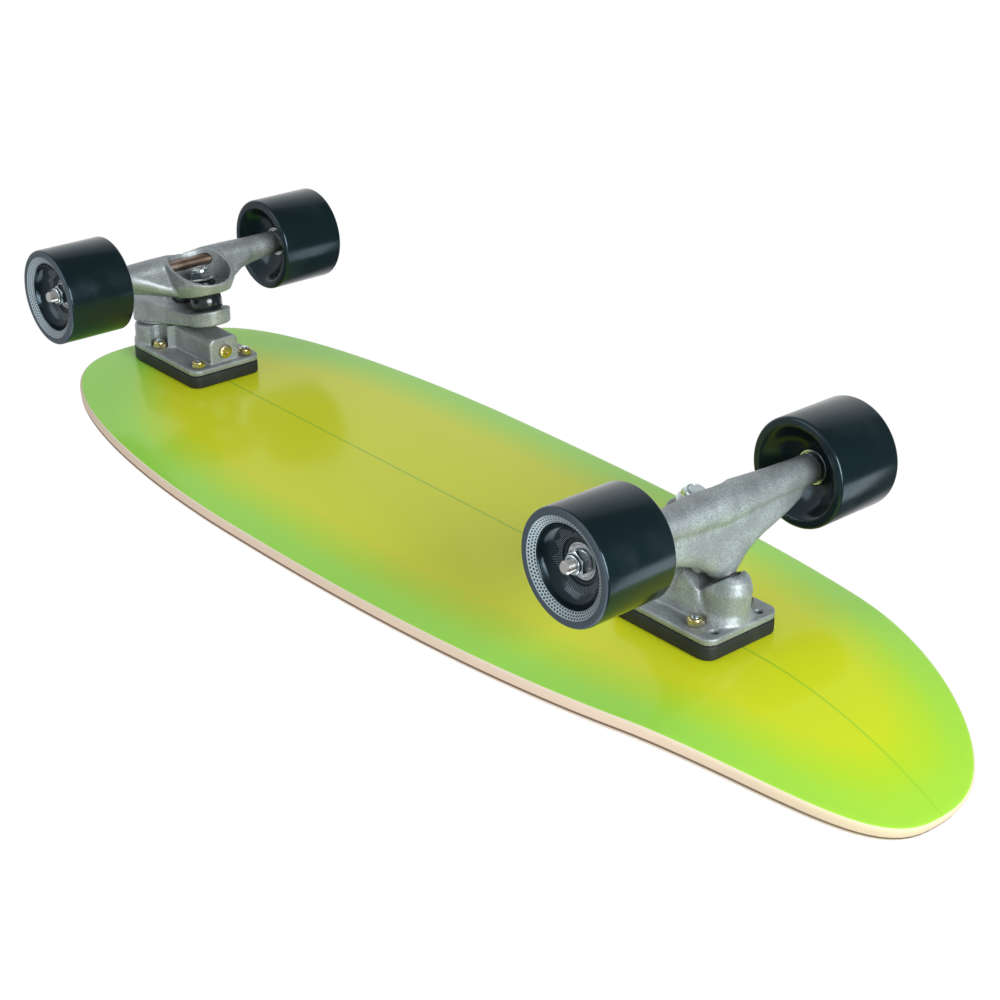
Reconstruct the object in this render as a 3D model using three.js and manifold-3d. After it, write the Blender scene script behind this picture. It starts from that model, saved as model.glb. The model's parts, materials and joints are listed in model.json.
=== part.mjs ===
// A surf skateboard: a kicked wooden deck on two cast trucks and four wide wheels. The front truck
// hangs from a sprung swing arm, so that the nose swings from side to side as the rider carves.
//
// Millimetres. +X points to the nose, +Y to the rider's left, +Z up. The origin is on the ground
// under the middle of the board. Each truck is built in a frame of its own, which stands on the
// deck's underside at the middle of the bolt pattern: +X points to the near end of the board and
// +Z away from the deck, down to the road.

import * as THREE from 'three';
import { mergeVertices } from 'three/addons/utils/BufferGeometryUtils.js';
import Module from 'manifold-3d';

// Clearances and counts that every piece shares
const seat_gap = 0.3;
const running_gap = 0.3;
const overrun = 3;
const cut_reach = 400;
const hole_reach = 50;
const ring_hole_reach = 25;
const merge_distance = 0.001;
const wheel_sides = 24;
const round_sides = 24;
const small_sides = 12;
const bolt_sides = 8;
const hexagon_sides = 6;
const ring_points = 24;
const ball_rings = 8;
const cup_steps = 3;
const corner_steps = 6;
const nose_steps = 10;
const station_steps = 13;

// Deck
const deck_length = 786.5;
const deck_width = 257.4;
const deck_thickness = 11;
const deck_edge_round = 2.6;
const nose_length = 295.6;
const nose_overhang = 77.35;
const tail_overhang = 194.95;
const tail_along_share = 2.48;
const tail_across_share = 2.53;
const nose_along_share = 1.84;
const nose_across_share = 3.59;
const concave_rise = 6.3;
const concave_flat_width = 60;
const kick_radius = 297;
const kick_length = 147.2;
const kick_shortening = 1.3;
const column_shares = [0.22, 0.44, 0.64, 0.82, 1];

// Griptape
const grip_thickness = 1;
const grip_inset = 1.2;

// Wheels
const wheel_diameter = 69;
const wheel_width = 51.4;
const wheel_edge_round = 2.6;
const wheel_lip_width = 2.6;
const wheel_cone_width = 5;
const wheel_cone_depth = 3;
const wheel_back_cone_depth = 6;
const wheel_mouth_radius = 14;
const wheel_core_radius = 9.5;

// Bearings, which carry their own half of the spacer between them
const bearing_radius = 11;
const bearing_width = 7;
const bearing_space = 10;
const bearing_race_radius = 6;
const bearing_shield_radius = 9.6;
const bearing_shield_depth = 0.6;
const bearing_step = 0.8;

// Axles
const axle_radius = 4;
const axle_end = 5.6;
const axle_chamfer = 1;
const axle_drop = 80.5;
const axle_nut_across = 13;
const axle_nut_height = 6.5;

// Trucks: what both share
const bolt_spacing_long = 53.98;
const bolt_spacing_wide = 41.28;
const riser_thickness = 9.4;
const riser_half_width = 30;
const riser_corner_radius = 8;
const flange_thickness = 4.6;
const hanger_half_length = 79.1;
const hub_gap = 0.4;
const kingpin_radius = 4.76;
const kingpin_head_radius = 8;
const kingpin_head_height = 5;
const kingpin_end = 0.8;
const kingpin_nut_across = 14.3;
const kingpin_nut_height = 6.6;
const cup_washer_radius = 10;
const cup_washer_thickness = 1.6;
const bushing_radius = 12;
const bushing_waist_share = 0.96;
const ring_hole_radius = 8.5;
const ball_radius = 6.5;
const ball_gap = 0.6;
const pivot_cup_radius = 8.6;
const pivot_cup_floor = 1.5;
const pivot_cup_mouth = 1.2;
const pivot_cup_tilt = THREE.MathUtils.degToRad(-37);
const neck_radius = 7.5;
const neck_foot_share = 0.7;

// Deck bolts
const deck_bolt_radius = 2.4;
const deck_bolt_head_radius = 4.7;
const deck_bolt_head_height = 3;
const deck_bolt_length = 31.5;
const deck_nut_across = 9.5;
const deck_nut_height = 4.6;

// Rear truck, in its own frame
const rear_axle_x = 20.05;
const rear_riser_inner = 34;
const rear_riser_outer = 47;
const rear_spare_hole_x = 40;
const rear_spare_hole_y = 18.5;
const rear_kingpin_tilt = THREE.MathUtils.degToRad(16);
const rear_seat_x = -7.4;
const rear_seat_z = 46;
const rear_seat_radius = 15.5;
const rear_boss_x = -9;
const rear_boss_half_length = 19;
const rear_boss_half_width = 19;
const rear_boss_square_share = 3;
const rear_lower_bushing_height = 15;
const rear_ring_thickness = 9;
const rear_ring_radius = 14.5;
const rear_upper_bushing_height = 6.5;
const rear_upper_bushing_radius = 10.5;
const rear_ball_x = 31;
const rear_ball_z = 38.5;
const rear_tower_x = 31;
const rear_tower_foot_length = 30.8;
const rear_tower_foot_width = 34;
const rear_tower_foot_square_share = 2.4;
const rear_tower_length = 29.8;
const rear_tower_width = 28.4;
const rear_tower_top = 44;
const rear_mouth_drop = 0.6;
const rear_tower_lean = 2;
// Rings of the tower: shares of its height, length, width and lean
const rear_tower_shares = [
  [0.48, 0.97, 1, 0], [0.77, 1, 1, 0.35], [0.92, 0.87, 0.84, 0.6], [1, 0.6, 0.56, 1],
];
const rear_saddle_x = 11;
const rear_saddle_length = 48;
const rear_saddle_width = 36;
const rear_saddle_square_share = 4;
const rear_saddle_tilt = THREE.MathUtils.degToRad(38);
const rear_saddle_top_x = 15.4;
const rear_saddle_top_z = 36.5;
const rear_saddle_top_length = 18.6;
const rear_saddle_top_width = 30;
const rear_nut_pocket_radius = 6.2;
const rear_tube_middle_radius = 13;
const rear_tube_shoulder_radius = 10.4;
const rear_tube_end_radius = 9.4;
const rear_tube_shoulder_share = 0.5;
const rear_tube_taper_share = 0.8;
const rear_yoke_end_gap = 1.1;
const rear_yoke_half_depth = 9;
const rear_yoke_shares = [
  [0, 1], [0.244, 0.98], [0.349, 0.91], [0.462, 0.79], [0.576, 0.61], [0.663, 0.45], [0.767, 0.31],
  [0.86, 0.22], [0.95, 0.165],
];
const rear_neck_length = 5.4;
const rear_neck_half_width = 11;
const rear_keel_gap = 5.2;
const rear_keel_shift = 5.6;
const rear_keel_length = 14.4;
const rear_keel_width = 28;
const rear_keel_square_share = 3;
const rear_keel_top_x = 20;
const rear_keel_top_z = 57;
const rear_keel_top_length = 23;
const rear_keel_top_width = 52;
// Stations of the web from the tube to the ring: share of the half width, of the way to the ring,
// and the radius of the edge there
const rear_web_half_width = 48;
const rear_web_stations = [[0, 1, 4.5], [0.33, 0.97, 4.5], [0.54, 0.66, 6], [0.75, 0.32, 7.8], [1, 0, 9]];
const rear_well_half_width = 17;
const rear_well_half_length = 11.6;

// Front truck, in its own frame
const front_axle_x = 13.05;
const front_riser_inner = 35.2;
const front_nose_x = 40.4;
const front_kingpin_tilt = THREE.MathUtils.degToRad(14);
const front_seat_x = -11.4;
const front_seat_z = 50.7;
const front_seat_radius = 14.6;
const front_lower_bushing_height = 12;
const front_ring_thickness = 5;
const front_ring_radius = 20;
const front_upper_bushing_height = 4.5;
const front_upper_bushing_radius = 10;
const front_ball_x = 24;
const front_ball_z = 51.5;
const front_bowl_radius = 22;
const front_bowl_wall = 3;
const front_bowl_flare_height = 9;
const front_rim_x = -26.6;
const front_rim_z = 76.5;
const front_rim_tilt = THREE.MathUtils.degToRad(-20);
const front_brow_tilt = THREE.MathUtils.degToRad(30);
const front_tube_middle_radius = 9.6;
const front_tube_end_radius = 8.9;
const front_tube_shoulder_share = 0.4;
const front_tube_taper_share = 0.7;
const front_neck_length = 12.4;
const front_yoke_end_gap = 5.1;
const front_yoke_stations = [[0, 1, 7.5], [0.19, 0.9, 7.5], [0.42, 0.6, 7.5], [0.7, 0.27, 7.5], [1, 0, 8]];
const front_web_half_width = 54;
const front_web_stations = [[0, 1, 3], [0.37, 0.88, 4], [0.63, 0.52, 5.5], [0.83, 0.22, 7], [1, 0, 8]];

// Swing arm and the base that carries it
const swing_x = 44.4;
const swing_z = 30.9;
const swing_tilt = THREE.MathUtils.degToRad(9.5);
const arm_nose_radius = 26.5;
const arm_paddle_radius = 16;
const arm_paddle_thickness = 9.6;
const arm_top = 49.2;
const arm_boss_radius = 11;
const arm_boss_top = 58;
const arm_boss_floor = 6;
const tower_x = 41.6;
const tower_radius = 28.2;
const tower_bore_radius = 16.6;
const tower_floor = 6;
const thrust_bearing_width = 5.4;
const thrust_bearing_thickness = 1.8;
const swing_bolt_radius = 5;
const swing_bolt_head_across = 17;
const swing_bolt_head_height = 6.4;
const swing_bolt_spot_margin = 0.7;
const swing_bolt_foot_gap = 1.5;
const spring_box_half_width = 12.5;
const spring_box_top = 34;
const spring_box_chamfer = 3;
const spring_box_inner = 31;
const spring_box_wall = 3;
const spring_chamber_radius = 8.6;
const spring_z = 23.3;
const spring_radius = 6;
const spring_wire_radius = 1.1;
const spring_turns = 8;
const steps_per_turn = 8;
const wire_sides = 5;
const spring_plug_length = 10;
const spring_lug_reach = 13;
const spring_lug_radius = 2.5;
const spring_lug_end = 19;
const adjuster_radius = 3;
const adjuster_head_radius = 5.2;
const adjuster_head_height = 3;
const adjuster_socket_radius = 2.5;
const adjuster_socket_depth = 2;
const nut_pocket_radius = 7.2;

// Places worked out from the sizes above
const axle_height = wheel_diameter / 2;
const deck_height = axle_height + axle_drop;
const tail_length = deck_length - nose_length;
const widest_x = tail_length - (deck_length + kick_shortening) / 2;
const kick_start = kick_length - deck_length / 2;
const base_bottom = riser_thickness + 2 * seat_gap;
const flange_top = base_bottom + flange_thickness;
const bearing_end = bearing_space / 2 + bearing_width + bearing_step;
const wheel_offset = hanger_half_length + hub_gap + bearing_end;
const rear_yoke_half_width = hanger_half_length - rear_yoke_end_gap;
const front_yoke_half_width = hanger_half_length - front_yoke_end_gap;
const axle_length = 2 * (wheel_offset + bearing_end + seat_gap + axle_nut_height + axle_end);
const rear_bolts_x = widest_x - tail_length + tail_overhang;
const front_bolts_x = widest_x + nose_length - nose_overhang;
const half_length = bolt_spacing_long / 2;
const half_width = bolt_spacing_wide / 2;

const wasm = await Module();
wasm.setup();

// Shapes as closed meshes and as solids

function signedVolume(geometry) {
  const at = geometry.attributes.position;
  const index = geometry.index.array;
  const [a, b, c] = [new THREE.Vector3(), new THREE.Vector3(), new THREE.Vector3()];
  let sum = 0;
  for (let i = 0; i < index.length; i += 3) {
    a.fromBufferAttribute(at, index[i]);
    b.fromBufferAttribute(at, index[i + 1]);
    c.fromBufferAttribute(at, index[i + 2]);
    sum += a.dot(b.cross(c));
  }
  return sum / 6;
}

// Shared vertices merged, faces of no area dropped and the rest facing out
function closed(source) {
  const bare = source.index ? source.toNonIndexed() : source.clone();
  for (const name of Object.keys(bare.attributes)) {
    if (name !== 'position') bare.deleteAttribute(name);
  }
  const merged = mergeVertices(bare, merge_distance);
  const index = merged.index.array;
  const kept = [];
  for (let i = 0; i < index.length; i += 3) {
    const [a, b, c] = [index[i], index[i + 1], index[i + 2]];
    if (a !== b && b !== c && c !== a) kept.push(a, b, c);
  }
  merged.setIndex(kept);
  if (signedVolume(merged) < 0) merged.setIndex(kept.reverse());
  return merged;
}

function solid(source) {
  const geometry = closed(source);
  return new wasm.Manifold(new wasm.Mesh({
    numProp: 3,
    vertProperties: new Float32Array(geometry.attributes.position.array),
    triVerts: new Uint32Array(geometry.index.array),
  }));
}

function geometryOf(body) {
  const mesh = body.getMesh();
  const geometry = new THREE.BufferGeometry();
  geometry.setAttribute('position', new THREE.BufferAttribute(mesh.vertProperties, 3));
  geometry.setIndex(new THREE.BufferAttribute(mesh.triVerts, 1));
  return geometry;
}

function joined(...sources) {
  return sources.map((source) => solid(source)).reduce((sum, part) => sum.add(part));
}

function cut(body, ...sources) {
  return sources.map((source) => solid(source)).reduce((rest, tool) => rest.subtract(tool), body);
}

// Leans a shape that was made along +Z over towards +X, then moves it to x and z
function placed(geometry, x, z, tilt = 0) {
  return geometry.rotateY(tilt).translate(x, 0, z);
}

function pointAlong(x, z, tilt, distance) {
  return [x + distance * Math.sin(tilt), z + distance * Math.cos(tilt)];
}

// A profile of [radius, height] points turned about +Z
function turned(profile, sides, half_turn_share = 0) {
  const points = profile.map(([radius, height]) => new THREE.Vector2(radius, height));
  const start = (half_turn_share * Math.PI) / sides;
  return new THREE.LatheGeometry([...points, points[0]], sides, start).rotateX(Math.PI / 2);
}

function rod(radius, bottom, top, sides = small_sides, top_radius = radius) {
  return turned([[0, bottom], [radius, bottom], [top_radius, top], [0, top]], sides);
}

function sleeve(outer_radius, inner_radius, bottom, top, sides = round_sides) {
  const wall = [[inner_radius, bottom], [outer_radius, bottom], [outer_radius, top], [inner_radius, top]];
  return turned(wall, sides);
}

// A prism from a flat outline, from one height to another
function prism(shape, bottom, top, curve_steps = corner_steps) {
  const settings = { depth: top - bottom, bevelEnabled: false, curveSegments: curve_steps };
  return new THREE.ExtrudeGeometry(shape, settings).translate(0, 0, bottom);
}

function hexagon(across) {
  const radius = across / Math.sqrt(3);
  const shape = new THREE.Shape();
  for (let i = 0; i < hexagon_sides; i += 1) {
    const angle = (2 * Math.PI * i) / hexagon_sides;
    shape.lineTo(radius * Math.cos(angle), radius * Math.sin(angle));
  }
  shape.curves.shift();
  shape.closePath();
  return shape;
}

function hexNut(across, hole_radius, bottom, top) {
  const shape = hexagon(across);
  shape.holes.push(new THREE.Path().absarc(0, 0, hole_radius, 0, 2 * Math.PI));
  return prism(shape, bottom, top);
}

function roundedBox(inner, outer, half_breadth, corner_radius) {
  const shape = new THREE.Shape();
  const right = outer - corner_radius;
  const left = corner_radius - inner;
  const up = half_breadth - corner_radius;
  shape.absarc(right, -up, corner_radius, -Math.PI / 2, 0);
  shape.absarc(right, up, corner_radius, 0, Math.PI / 2);
  shape.absarc(left, up, corner_radius, Math.PI / 2, Math.PI);
  shape.absarc(left, -up, corner_radius, Math.PI, 1.5 * Math.PI);
  shape.closePath();
  return shape;
}

// A ring of points round an oval that squares up as its power grows, leaning like placed shapes
function oval(x, z, tilt, half_x, half_y, power = 2) {
  const points = [];
  for (let i = 0; i < ring_points; i += 1) {
    const angle = (2 * Math.PI * i) / ring_points;
    const along = half_x * Math.sign(Math.cos(angle)) * Math.abs(Math.cos(angle)) ** (2 / power);
    const across = half_y * Math.sign(Math.sin(angle)) * Math.abs(Math.sin(angle)) ** (2 / power);
    points.push(new THREE.Vector3(x + along * Math.cos(tilt), across, z - along * Math.sin(tilt)));
  }
  return points;
}

// A skin over a row of rings that have as many points each, closed with a fan at both ends
function loft(rings) {
  const count = rings[0].length;
  const corners = rings.flat();
  const index = [];
  for (let r = 0; r + 1 < rings.length; r += 1) {
    for (let i = 0; i < count; i += 1) {
      const a = r * count + i;
      const b = r * count + ((i + 1) % count);
      index.push(a, b, b + count, a, b + count, a + count);
    }
  }
  const last = (rings.length - 1) * count;
  for (let i = 1; i + 1 < count; i += 1) {
    index.push(0, i + 1, i, last, last + i, last + i + 1);
  }
  const geometry = new THREE.BufferGeometry().setFromPoints(corners);
  geometry.setIndex(index);
  return geometry;
}

// A block that reaches far past any piece, with one face through a point
function blockAbove(x, z, tilt) {
  const block = new THREE.BoxGeometry(cut_reach, cut_reach, cut_reach);
  return placed(block.translate(0, 0, cut_reach / 2), x, z, tilt);
}

function blockBelow(x, z, tilt) {
  const block = new THREE.BoxGeometry(cut_reach, cut_reach, cut_reach);
  return placed(block.translate(0, 0, -cut_reach / 2), x, z, tilt);
}

// Materials

function finish(color, roughness, metalness) {
  return new THREE.MeshStandardMaterial({ color, roughness, metalness });
}

const deck_finish = finish(0xb6d232, 0.15, 0);
const grip_finish = finish(0x1c1c1d, 0.95, 0);
const riser_finish = finish(0x15181a, 0.6, 0);
const cast_finish = finish(0x8e9498, 0.45, 0.9);
const tyre_finish = finish(0x101418, 0.25, 0);
const steel_finish = finish(0xb8bcbe, 0.3, 1);
const axle_finish = finish(0x6d5448, 0.4, 1);
const zinc_finish = finish(0xc9a84a, 0.35, 1);
const bushing_finish = finish(0x14191d, 0.3, 0);
const cup_finish = finish(0x2a2c2e, 0.5, 0);
const spring_finish = finish(0x55585c, 0.4, 1);

const board = new THREE.Group();
const front_truck = new THREE.Group();
const rear_truck = new THREE.Group();
front_truck.position.set(front_bolts_x, 0, deck_height);
front_truck.rotation.x = Math.PI;
rear_truck.position.set(rear_bolts_x, 0, deck_height);
rear_truck.rotation.y = Math.PI;
board.add(front_truck, rear_truck);

function add(group, name, shape, material) {
  const geometry = shape.isBufferGeometry ? closed(shape) : geometryOf(shape);
  const mesh = new THREE.Mesh(geometry, material);
  mesh.name = name;
  group.add(mesh);
  return mesh;
}

// Deck and griptape

// The underside's height over its flat middle, and its slopes along and across
function underside(x, y) {
  const flat = concave_flat_width / 2;
  const run = Math.max(0, Math.abs(y) - flat) / (deck_width / 2 - flat);
  const into_kick = Math.max(0, kick_start - x);
  const drop = Math.sqrt(kick_radius ** 2 - into_kick ** 2);
  const height = concave_rise * run ** 2 + kick_radius - drop;
  const across = (2 * concave_rise * run * Math.sign(y)) / (deck_width / 2 - flat);
  return { height, along: -into_kick / drop, across };
}

// A point of the deck at a depth above its underside, measured square to the surface
function deckPoint(x, y, depth) {
  const { height, along, across } = underside(x, y);
  const normal = new THREE.Vector3(-along, -across, 1).normalize();
  return new THREE.Vector3(x, y, deck_height + height).addScaledVector(normal, depth);
}

// Where the outline, drawn in by an inset, lies at an angle from -90 degrees at the tail's tip to
// 90 degrees at the nose's tip
function outlinePoint(angle, inset) {
  const nose = angle > 0;
  const reach = (nose ? nose_length : tail_length) - inset;
  const along_power = nose ? nose_along_share : tail_along_share;
  const across_power = nose ? nose_across_share : tail_across_share;
  const along = reach * Math.abs(Math.sin(angle)) ** (2 / along_power);
  const across = (deck_width / 2 - inset) * Math.abs(Math.cos(angle)) ** (2 / across_power);
  return [widest_x + Math.sign(angle) * along, Math.abs(angle) < Math.PI / 2 ? across : 0];
}

function stations() {
  const angles = [];
  for (let i = -station_steps; i <= station_steps; i += 1) {
    angles.push((i * Math.PI) / 2 / station_steps);
  }
  const kick_reach_share = (widest_x - kick_start) / tail_length;
  angles.push(-Math.asin(kick_reach_share ** (tail_along_share / 2)));
  return angles.sort((a, b) => a - b);
}

const columns = [...column_shares.map((share) => -share).reverse(), ...column_shares];

function deckRow(angle, inset, depth) {
  const [x, half_breadth] = outlinePoint(angle, inset);
  return columns.map((share) => deckPoint(x, share * half_breadth, depth));
}

function deckRing(angle) {
  const [x, half_breadth] = outlinePoint(angle, 0);
  const low = deck_edge_round;
  const high = deck_thickness - deck_edge_round;
  return [
    ...deckRow(angle, deck_edge_round, 0),
    deckPoint(x, half_breadth, low),
    deckPoint(x, half_breadth, high),
    ...deckRow(angle, deck_edge_round, deck_thickness).reverse(),
    deckPoint(x, -half_breadth, high),
    deckPoint(x, -half_breadth, low),
  ];
}

function gripRing(angle) {
  const inset = deck_edge_round + grip_inset;
  const low = deck_thickness + seat_gap;
  return [
    ...deckRow(angle, inset, low),
    ...deckRow(angle, inset, low + grip_thickness).reverse(),
  ];
}

// Bolt places: along the board, and the truck that each belongs to
const deck_bolt_places = [];
for (const [end, centre] of [['front', front_bolts_x], ['rear', rear_bolts_x]]) {
  for (const [row, along] of [['nose', half_length], ['tail', -half_length]]) {
    for (const [side, across] of [['left', half_width], ['right', -half_width]]) {
      deck_bolt_places.push({ name: `${end}_${row}_${side}`, x: centre + along, y: across });
    }
  }
}

// A flat-headed bolt that hangs down from the deck's top; a hole for it is grown by a gap and
// runs on past the top
function deckBolt(length, gap, rise) {
  const shank = deck_bolt_radius + gap;
  const head = deck_bolt_head_radius + gap;
  const rim = deck_height + deck_thickness;
  const top = rim + rise;
  const profile = [[0, rim - length], [shank, rim - length], [shank, rim - deck_bolt_head_height - gap]];
  profile.push([head, rim - gap], [head, top], [0, top]);
  return turned(profile, bolt_sides);
}

function buildDeck() {
  const rings = stations();
  const holes = deck_bolt_places.map(({ x, y }) => (
    deckBolt(deck_thickness + overrun, running_gap, overrun).translate(x, y, 0)
  ));
  const wood = cut(solid(loft(rings.map((angle) => deckRing(angle)))), ...holes);
  add(board, 'deck', wood, deck_finish);
  const eyelets = deck_bolt_places.map(({ x, y }) => (
    rod(deck_bolt_head_radius + running_gap, 0, cut_reach, bolt_sides).translate(x, y, 0)
  ));
  const sheet = cut(solid(loft(rings.map((angle) => gripRing(angle)))), ...eyelets);
  add(board, 'griptape', sheet, grip_finish);
}

function buildDeckBolts() {
  for (const { name, x, y } of deck_bolt_places) {
    const bolt = deckBolt(deck_bolt_length, 0, 0);
    add(board, `${name}_deck_bolt`, bolt, steel_finish).position.set(x, y, 0);
    const top = deck_height - flange_top - seat_gap;
    const nut = hexNut(deck_nut_across, deck_bolt_radius + running_gap, top - deck_nut_height, top);
    add(board, `${name}_deck_nut`, nut, zinc_finish).position.set(x, y, 0);
  }
}

// Wheels, bearings, axles and their nuts

function wheelShape() {
  const half = wheel_width / 2;
  const radius = wheel_diameter / 2 / Math.cos(Math.PI / wheel_sides);
  const seat = bearing_radius + running_gap;
  const inner = bearing_space / 2 - seat_gap;
  const outer = bearing_space / 2 + bearing_width + seat_gap;
  const lip = radius - wheel_edge_round - wheel_lip_width;
  const bowl = lip - wheel_cone_width;
  return turned([
    [seat, outer], [seat, inner], [wheel_core_radius, inner], [wheel_core_radius, -inner],
    [seat, -inner], [seat, -outer], [wheel_mouth_radius, -outer - bearing_step],
    [bowl, wheel_back_cone_depth - half], [lip, -half], [radius - wheel_edge_round, -half],
    [radius, -half + wheel_edge_round], [radius, half - wheel_edge_round],
    [radius - wheel_edge_round, half], [lip, half], [bowl, half - wheel_cone_depth],
    [wheel_mouth_radius, outer + bearing_step],
  ], wheel_sides, 1);
}

// A bearing whose outward face is up; its race runs on inwards as half of the spacer
function bearingShape() {
  const bore = axle_radius + running_gap;
  const foot = seat_gap / 2 - bearing_space / 2;
  const shield = bearing_width - bearing_shield_depth;
  return turned([
    [bore, foot], [bearing_race_radius, foot], [bearing_race_radius, 0], [bearing_radius, 0],
    [bearing_radius, bearing_width], [bearing_shield_radius, bearing_width],
    [bearing_shield_radius, shield], [bearing_race_radius, shield],
    [bearing_race_radius, bearing_width + bearing_step], [bore, bearing_width + bearing_step],
  ], small_sides);
}

// Everything that turns on or tightens an axle, at one side of a truck
function buildWheel(group, axle_x, name, side) {
  const wheel = new THREE.Group();
  wheel.position.set(axle_x, side * wheel_offset, axle_drop);
  wheel.rotation.x = (-side * Math.PI) / 2;
  group.add(wheel);
  add(wheel, `${name}_wheel`, wheelShape(), tyre_finish);
  const outer = add(wheel, `${name}_outer_bearing`, bearingShape(), steel_finish);
  outer.position.z = bearing_space / 2;
  const inner = add(wheel, `${name}_inner_bearing`, bearingShape().rotateX(Math.PI), steel_finish);
  inner.position.z = -bearing_space / 2;
  const seat = bearing_end + seat_gap;
  const nut = hexNut(axle_nut_across, axle_radius + running_gap, seat, seat + axle_nut_height);
  add(wheel, `${name}_axle_nut`, nut, steel_finish);
}

function axleShape(grow = 0) {
  const half = axle_length / 2;
  const radius = axle_radius + grow;
  const tip = radius - axle_chamfer;
  const shape = turned([
    [0, -half], [tip, -half], [radius, axle_chamfer - half],
    [radius, half - axle_chamfer], [tip, half], [0, half],
  ], small_sides);
  return shape.rotateX(Math.PI / 2);
}

function buildAxle(group, end, axle_x, left) {
  add(group, `${end}_axle`, axleShape(), axle_finish).position.set(axle_x, 0, axle_drop);
  buildWheel(group, axle_x, `${end}_left`, left);
  buildWheel(group, axle_x, `${end}_right`, -left);
}

// The stack on a kingpin, from its seat towards the nut

function stackOf(lower_height, ring_thickness, upper_height) {
  const ring_bottom = lower_height + 2 * seat_gap;
  const ring_top = ring_bottom + ring_thickness;
  const washer = ring_top + upper_height + 2 * seat_gap;
  const nut = washer + cup_washer_thickness + seat_gap;
  const end = nut + kingpin_nut_height + kingpin_end;
  return { ring_bottom, ring_top, ring_middle: (ring_bottom + ring_top) / 2, washer, nut, end };
}

function bushing(bottom_radius, top_radius, bottom, top) {
  const bore = kingpin_radius + running_gap;
  const waist = Math.max(bottom_radius, top_radius) * bushing_waist_share;
  const middle = (bottom + top) / 2;
  return turned([
    [bore, bottom], [waist, bottom], [bottom_radius, middle],
    [top_radius * bushing_waist_share, top], [bore, top],
  ], small_sides);
}

function buildKingpin(group, end, x, z, tilt, stack, upper_radius, head_depth) {
  const bore = kingpin_radius + running_gap;
  const bolt = turned([
    [0, -head_depth], [kingpin_head_radius, -head_depth],
    [kingpin_head_radius, kingpin_head_height - head_depth],
    [kingpin_radius, kingpin_head_height - head_depth], [kingpin_radius, stack.end], [0, stack.end],
  ], small_sides);
  const lower = bushing(bushing_radius, bushing_radius, seat_gap, stack.ring_bottom - seat_gap);
  const upper = bushing(upper_radius, upper_radius, stack.ring_top + seat_gap, stack.washer - seat_gap);
  const washer_top = stack.washer + cup_washer_thickness;
  const washer = sleeve(cup_washer_radius, bore, stack.washer, washer_top, small_sides);
  const nut = hexNut(kingpin_nut_across, bore, stack.nut, stack.nut + kingpin_nut_height);
  add(group, `${end}_kingpin`, placed(bolt, x, z, tilt), steel_finish);
  add(group, `${end}_lower_bushing`, placed(lower, x, z, tilt), bushing_finish);
  add(group, `${end}_upper_bushing`, placed(upper, x, z, tilt), bushing_finish);
  add(group, `${end}_cup_washer`, placed(washer, x, z, tilt), steel_finish);
  add(group, `${end}_kingpin_nut`, placed(nut, x, z, tilt), steel_finish);
}

// The soft cup that the hanger's ball turns in, and the hole that it sits in
function pivotCup() {
  const inner = ball_radius + ball_gap;
  const profile = [[0, -inner - pivot_cup_floor], [pivot_cup_radius, -inner - pivot_cup_floor]];
  profile.push([pivot_cup_radius, pivot_cup_mouth], [inner, pivot_cup_mouth]);
  for (let i = 0; i <= cup_steps; i += 1) {
    const angle = (i * Math.PI) / 2 / cup_steps;
    profile.push([inner * Math.cos(angle), -inner * Math.sin(angle)]);
  }
  return turned(profile, small_sides);
}

function pivotHole(x, z) {
  const depth = ball_radius + ball_gap + pivot_cup_floor + seat_gap;
  return placed(rod(pivot_cup_radius + seat_gap, -depth, hole_reach, round_sides), x, z, pivot_cup_tilt);
}

function ball(x, z) {
  return new THREE.SphereGeometry(ball_radius, small_sides, ball_rings).translate(x, 0, z);
}

// A web that hangs from the tube: each section is the hull of the tube and of a round edge, which
// lies on the way to a point, and further towards it near the middle of the truck
function web(axle_x, tube_radius, to_x, to_z, half_breadth, edge_stations) {
  const far_side = edge_stations.slice(1).map(([y, way, radius]) => [-y, way, radius]).reverse();
  return loft([...far_side, ...edge_stations].map(([y_share, way, edge_radius]) => {
    const x = axle_x + (to_x - axle_x) * way;
    const z = axle_drop + (to_z - axle_drop) * way;
    const points = [];
    for (let i = 0; i < ring_points; i += 1) {
      const angle = (2 * Math.PI * i) / ring_points;
      const [along, up] = [Math.cos(angle), Math.sin(angle)];
      const edge_leads = x * along + z * up + edge_radius > axle_x * along + axle_drop * up + tube_radius;
      const [mid_x, mid_z, radius] = edge_leads ? [x, z, edge_radius] : [axle_x, axle_drop, tube_radius];
      points.push(new THREE.Vector3(mid_x + radius * along, y_share * half_breadth, mid_z + radius * up));
    }
    return points;
  }));
}

// A tube along the axle, thickest in the middle
function hangerTube(axle_x, profile) {
  const half = profile.map(([radius, share]) => [radius, hanger_half_length * share]);
  const other = half.map(([radius, along]) => [radius, -along]).reverse();
  const ends = [[0, -hanger_half_length], ...other, ...half.slice(1), [0, hanger_half_length]];
  return turned(ends, round_sides).rotateX(Math.PI / 2).translate(axle_x, 0, axle_drop);
}

// Rear truck

function riserShape(outline, outer_holes) {
  for (const [x, y] of outer_holes) {
    outline.holes.push(new THREE.Path().absarc(x, y, deck_bolt_radius + running_gap, 0, 2 * Math.PI));
  }
  return outline;
}

const bolt_holes = [];
for (const x of [-half_length, half_length]) {
  for (const y of [-half_width, half_width]) bolt_holes.push([x, y]);
}

function kingpinHoles(x, z, tilt, head_depth) {
  const head_top = kingpin_head_height + seat_gap - head_depth;
  const head = rod(kingpin_head_radius + seat_gap, -hole_reach, head_top);
  const shank = rod(kingpin_radius + running_gap, -head_depth, overrun);
  return [placed(head, x, z, tilt), placed(shank, x, z, tilt)];
}

function rearOutline() {
  return roundedBox(rear_riser_inner, rear_riser_outer, riser_half_width, riser_corner_radius);
}

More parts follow.
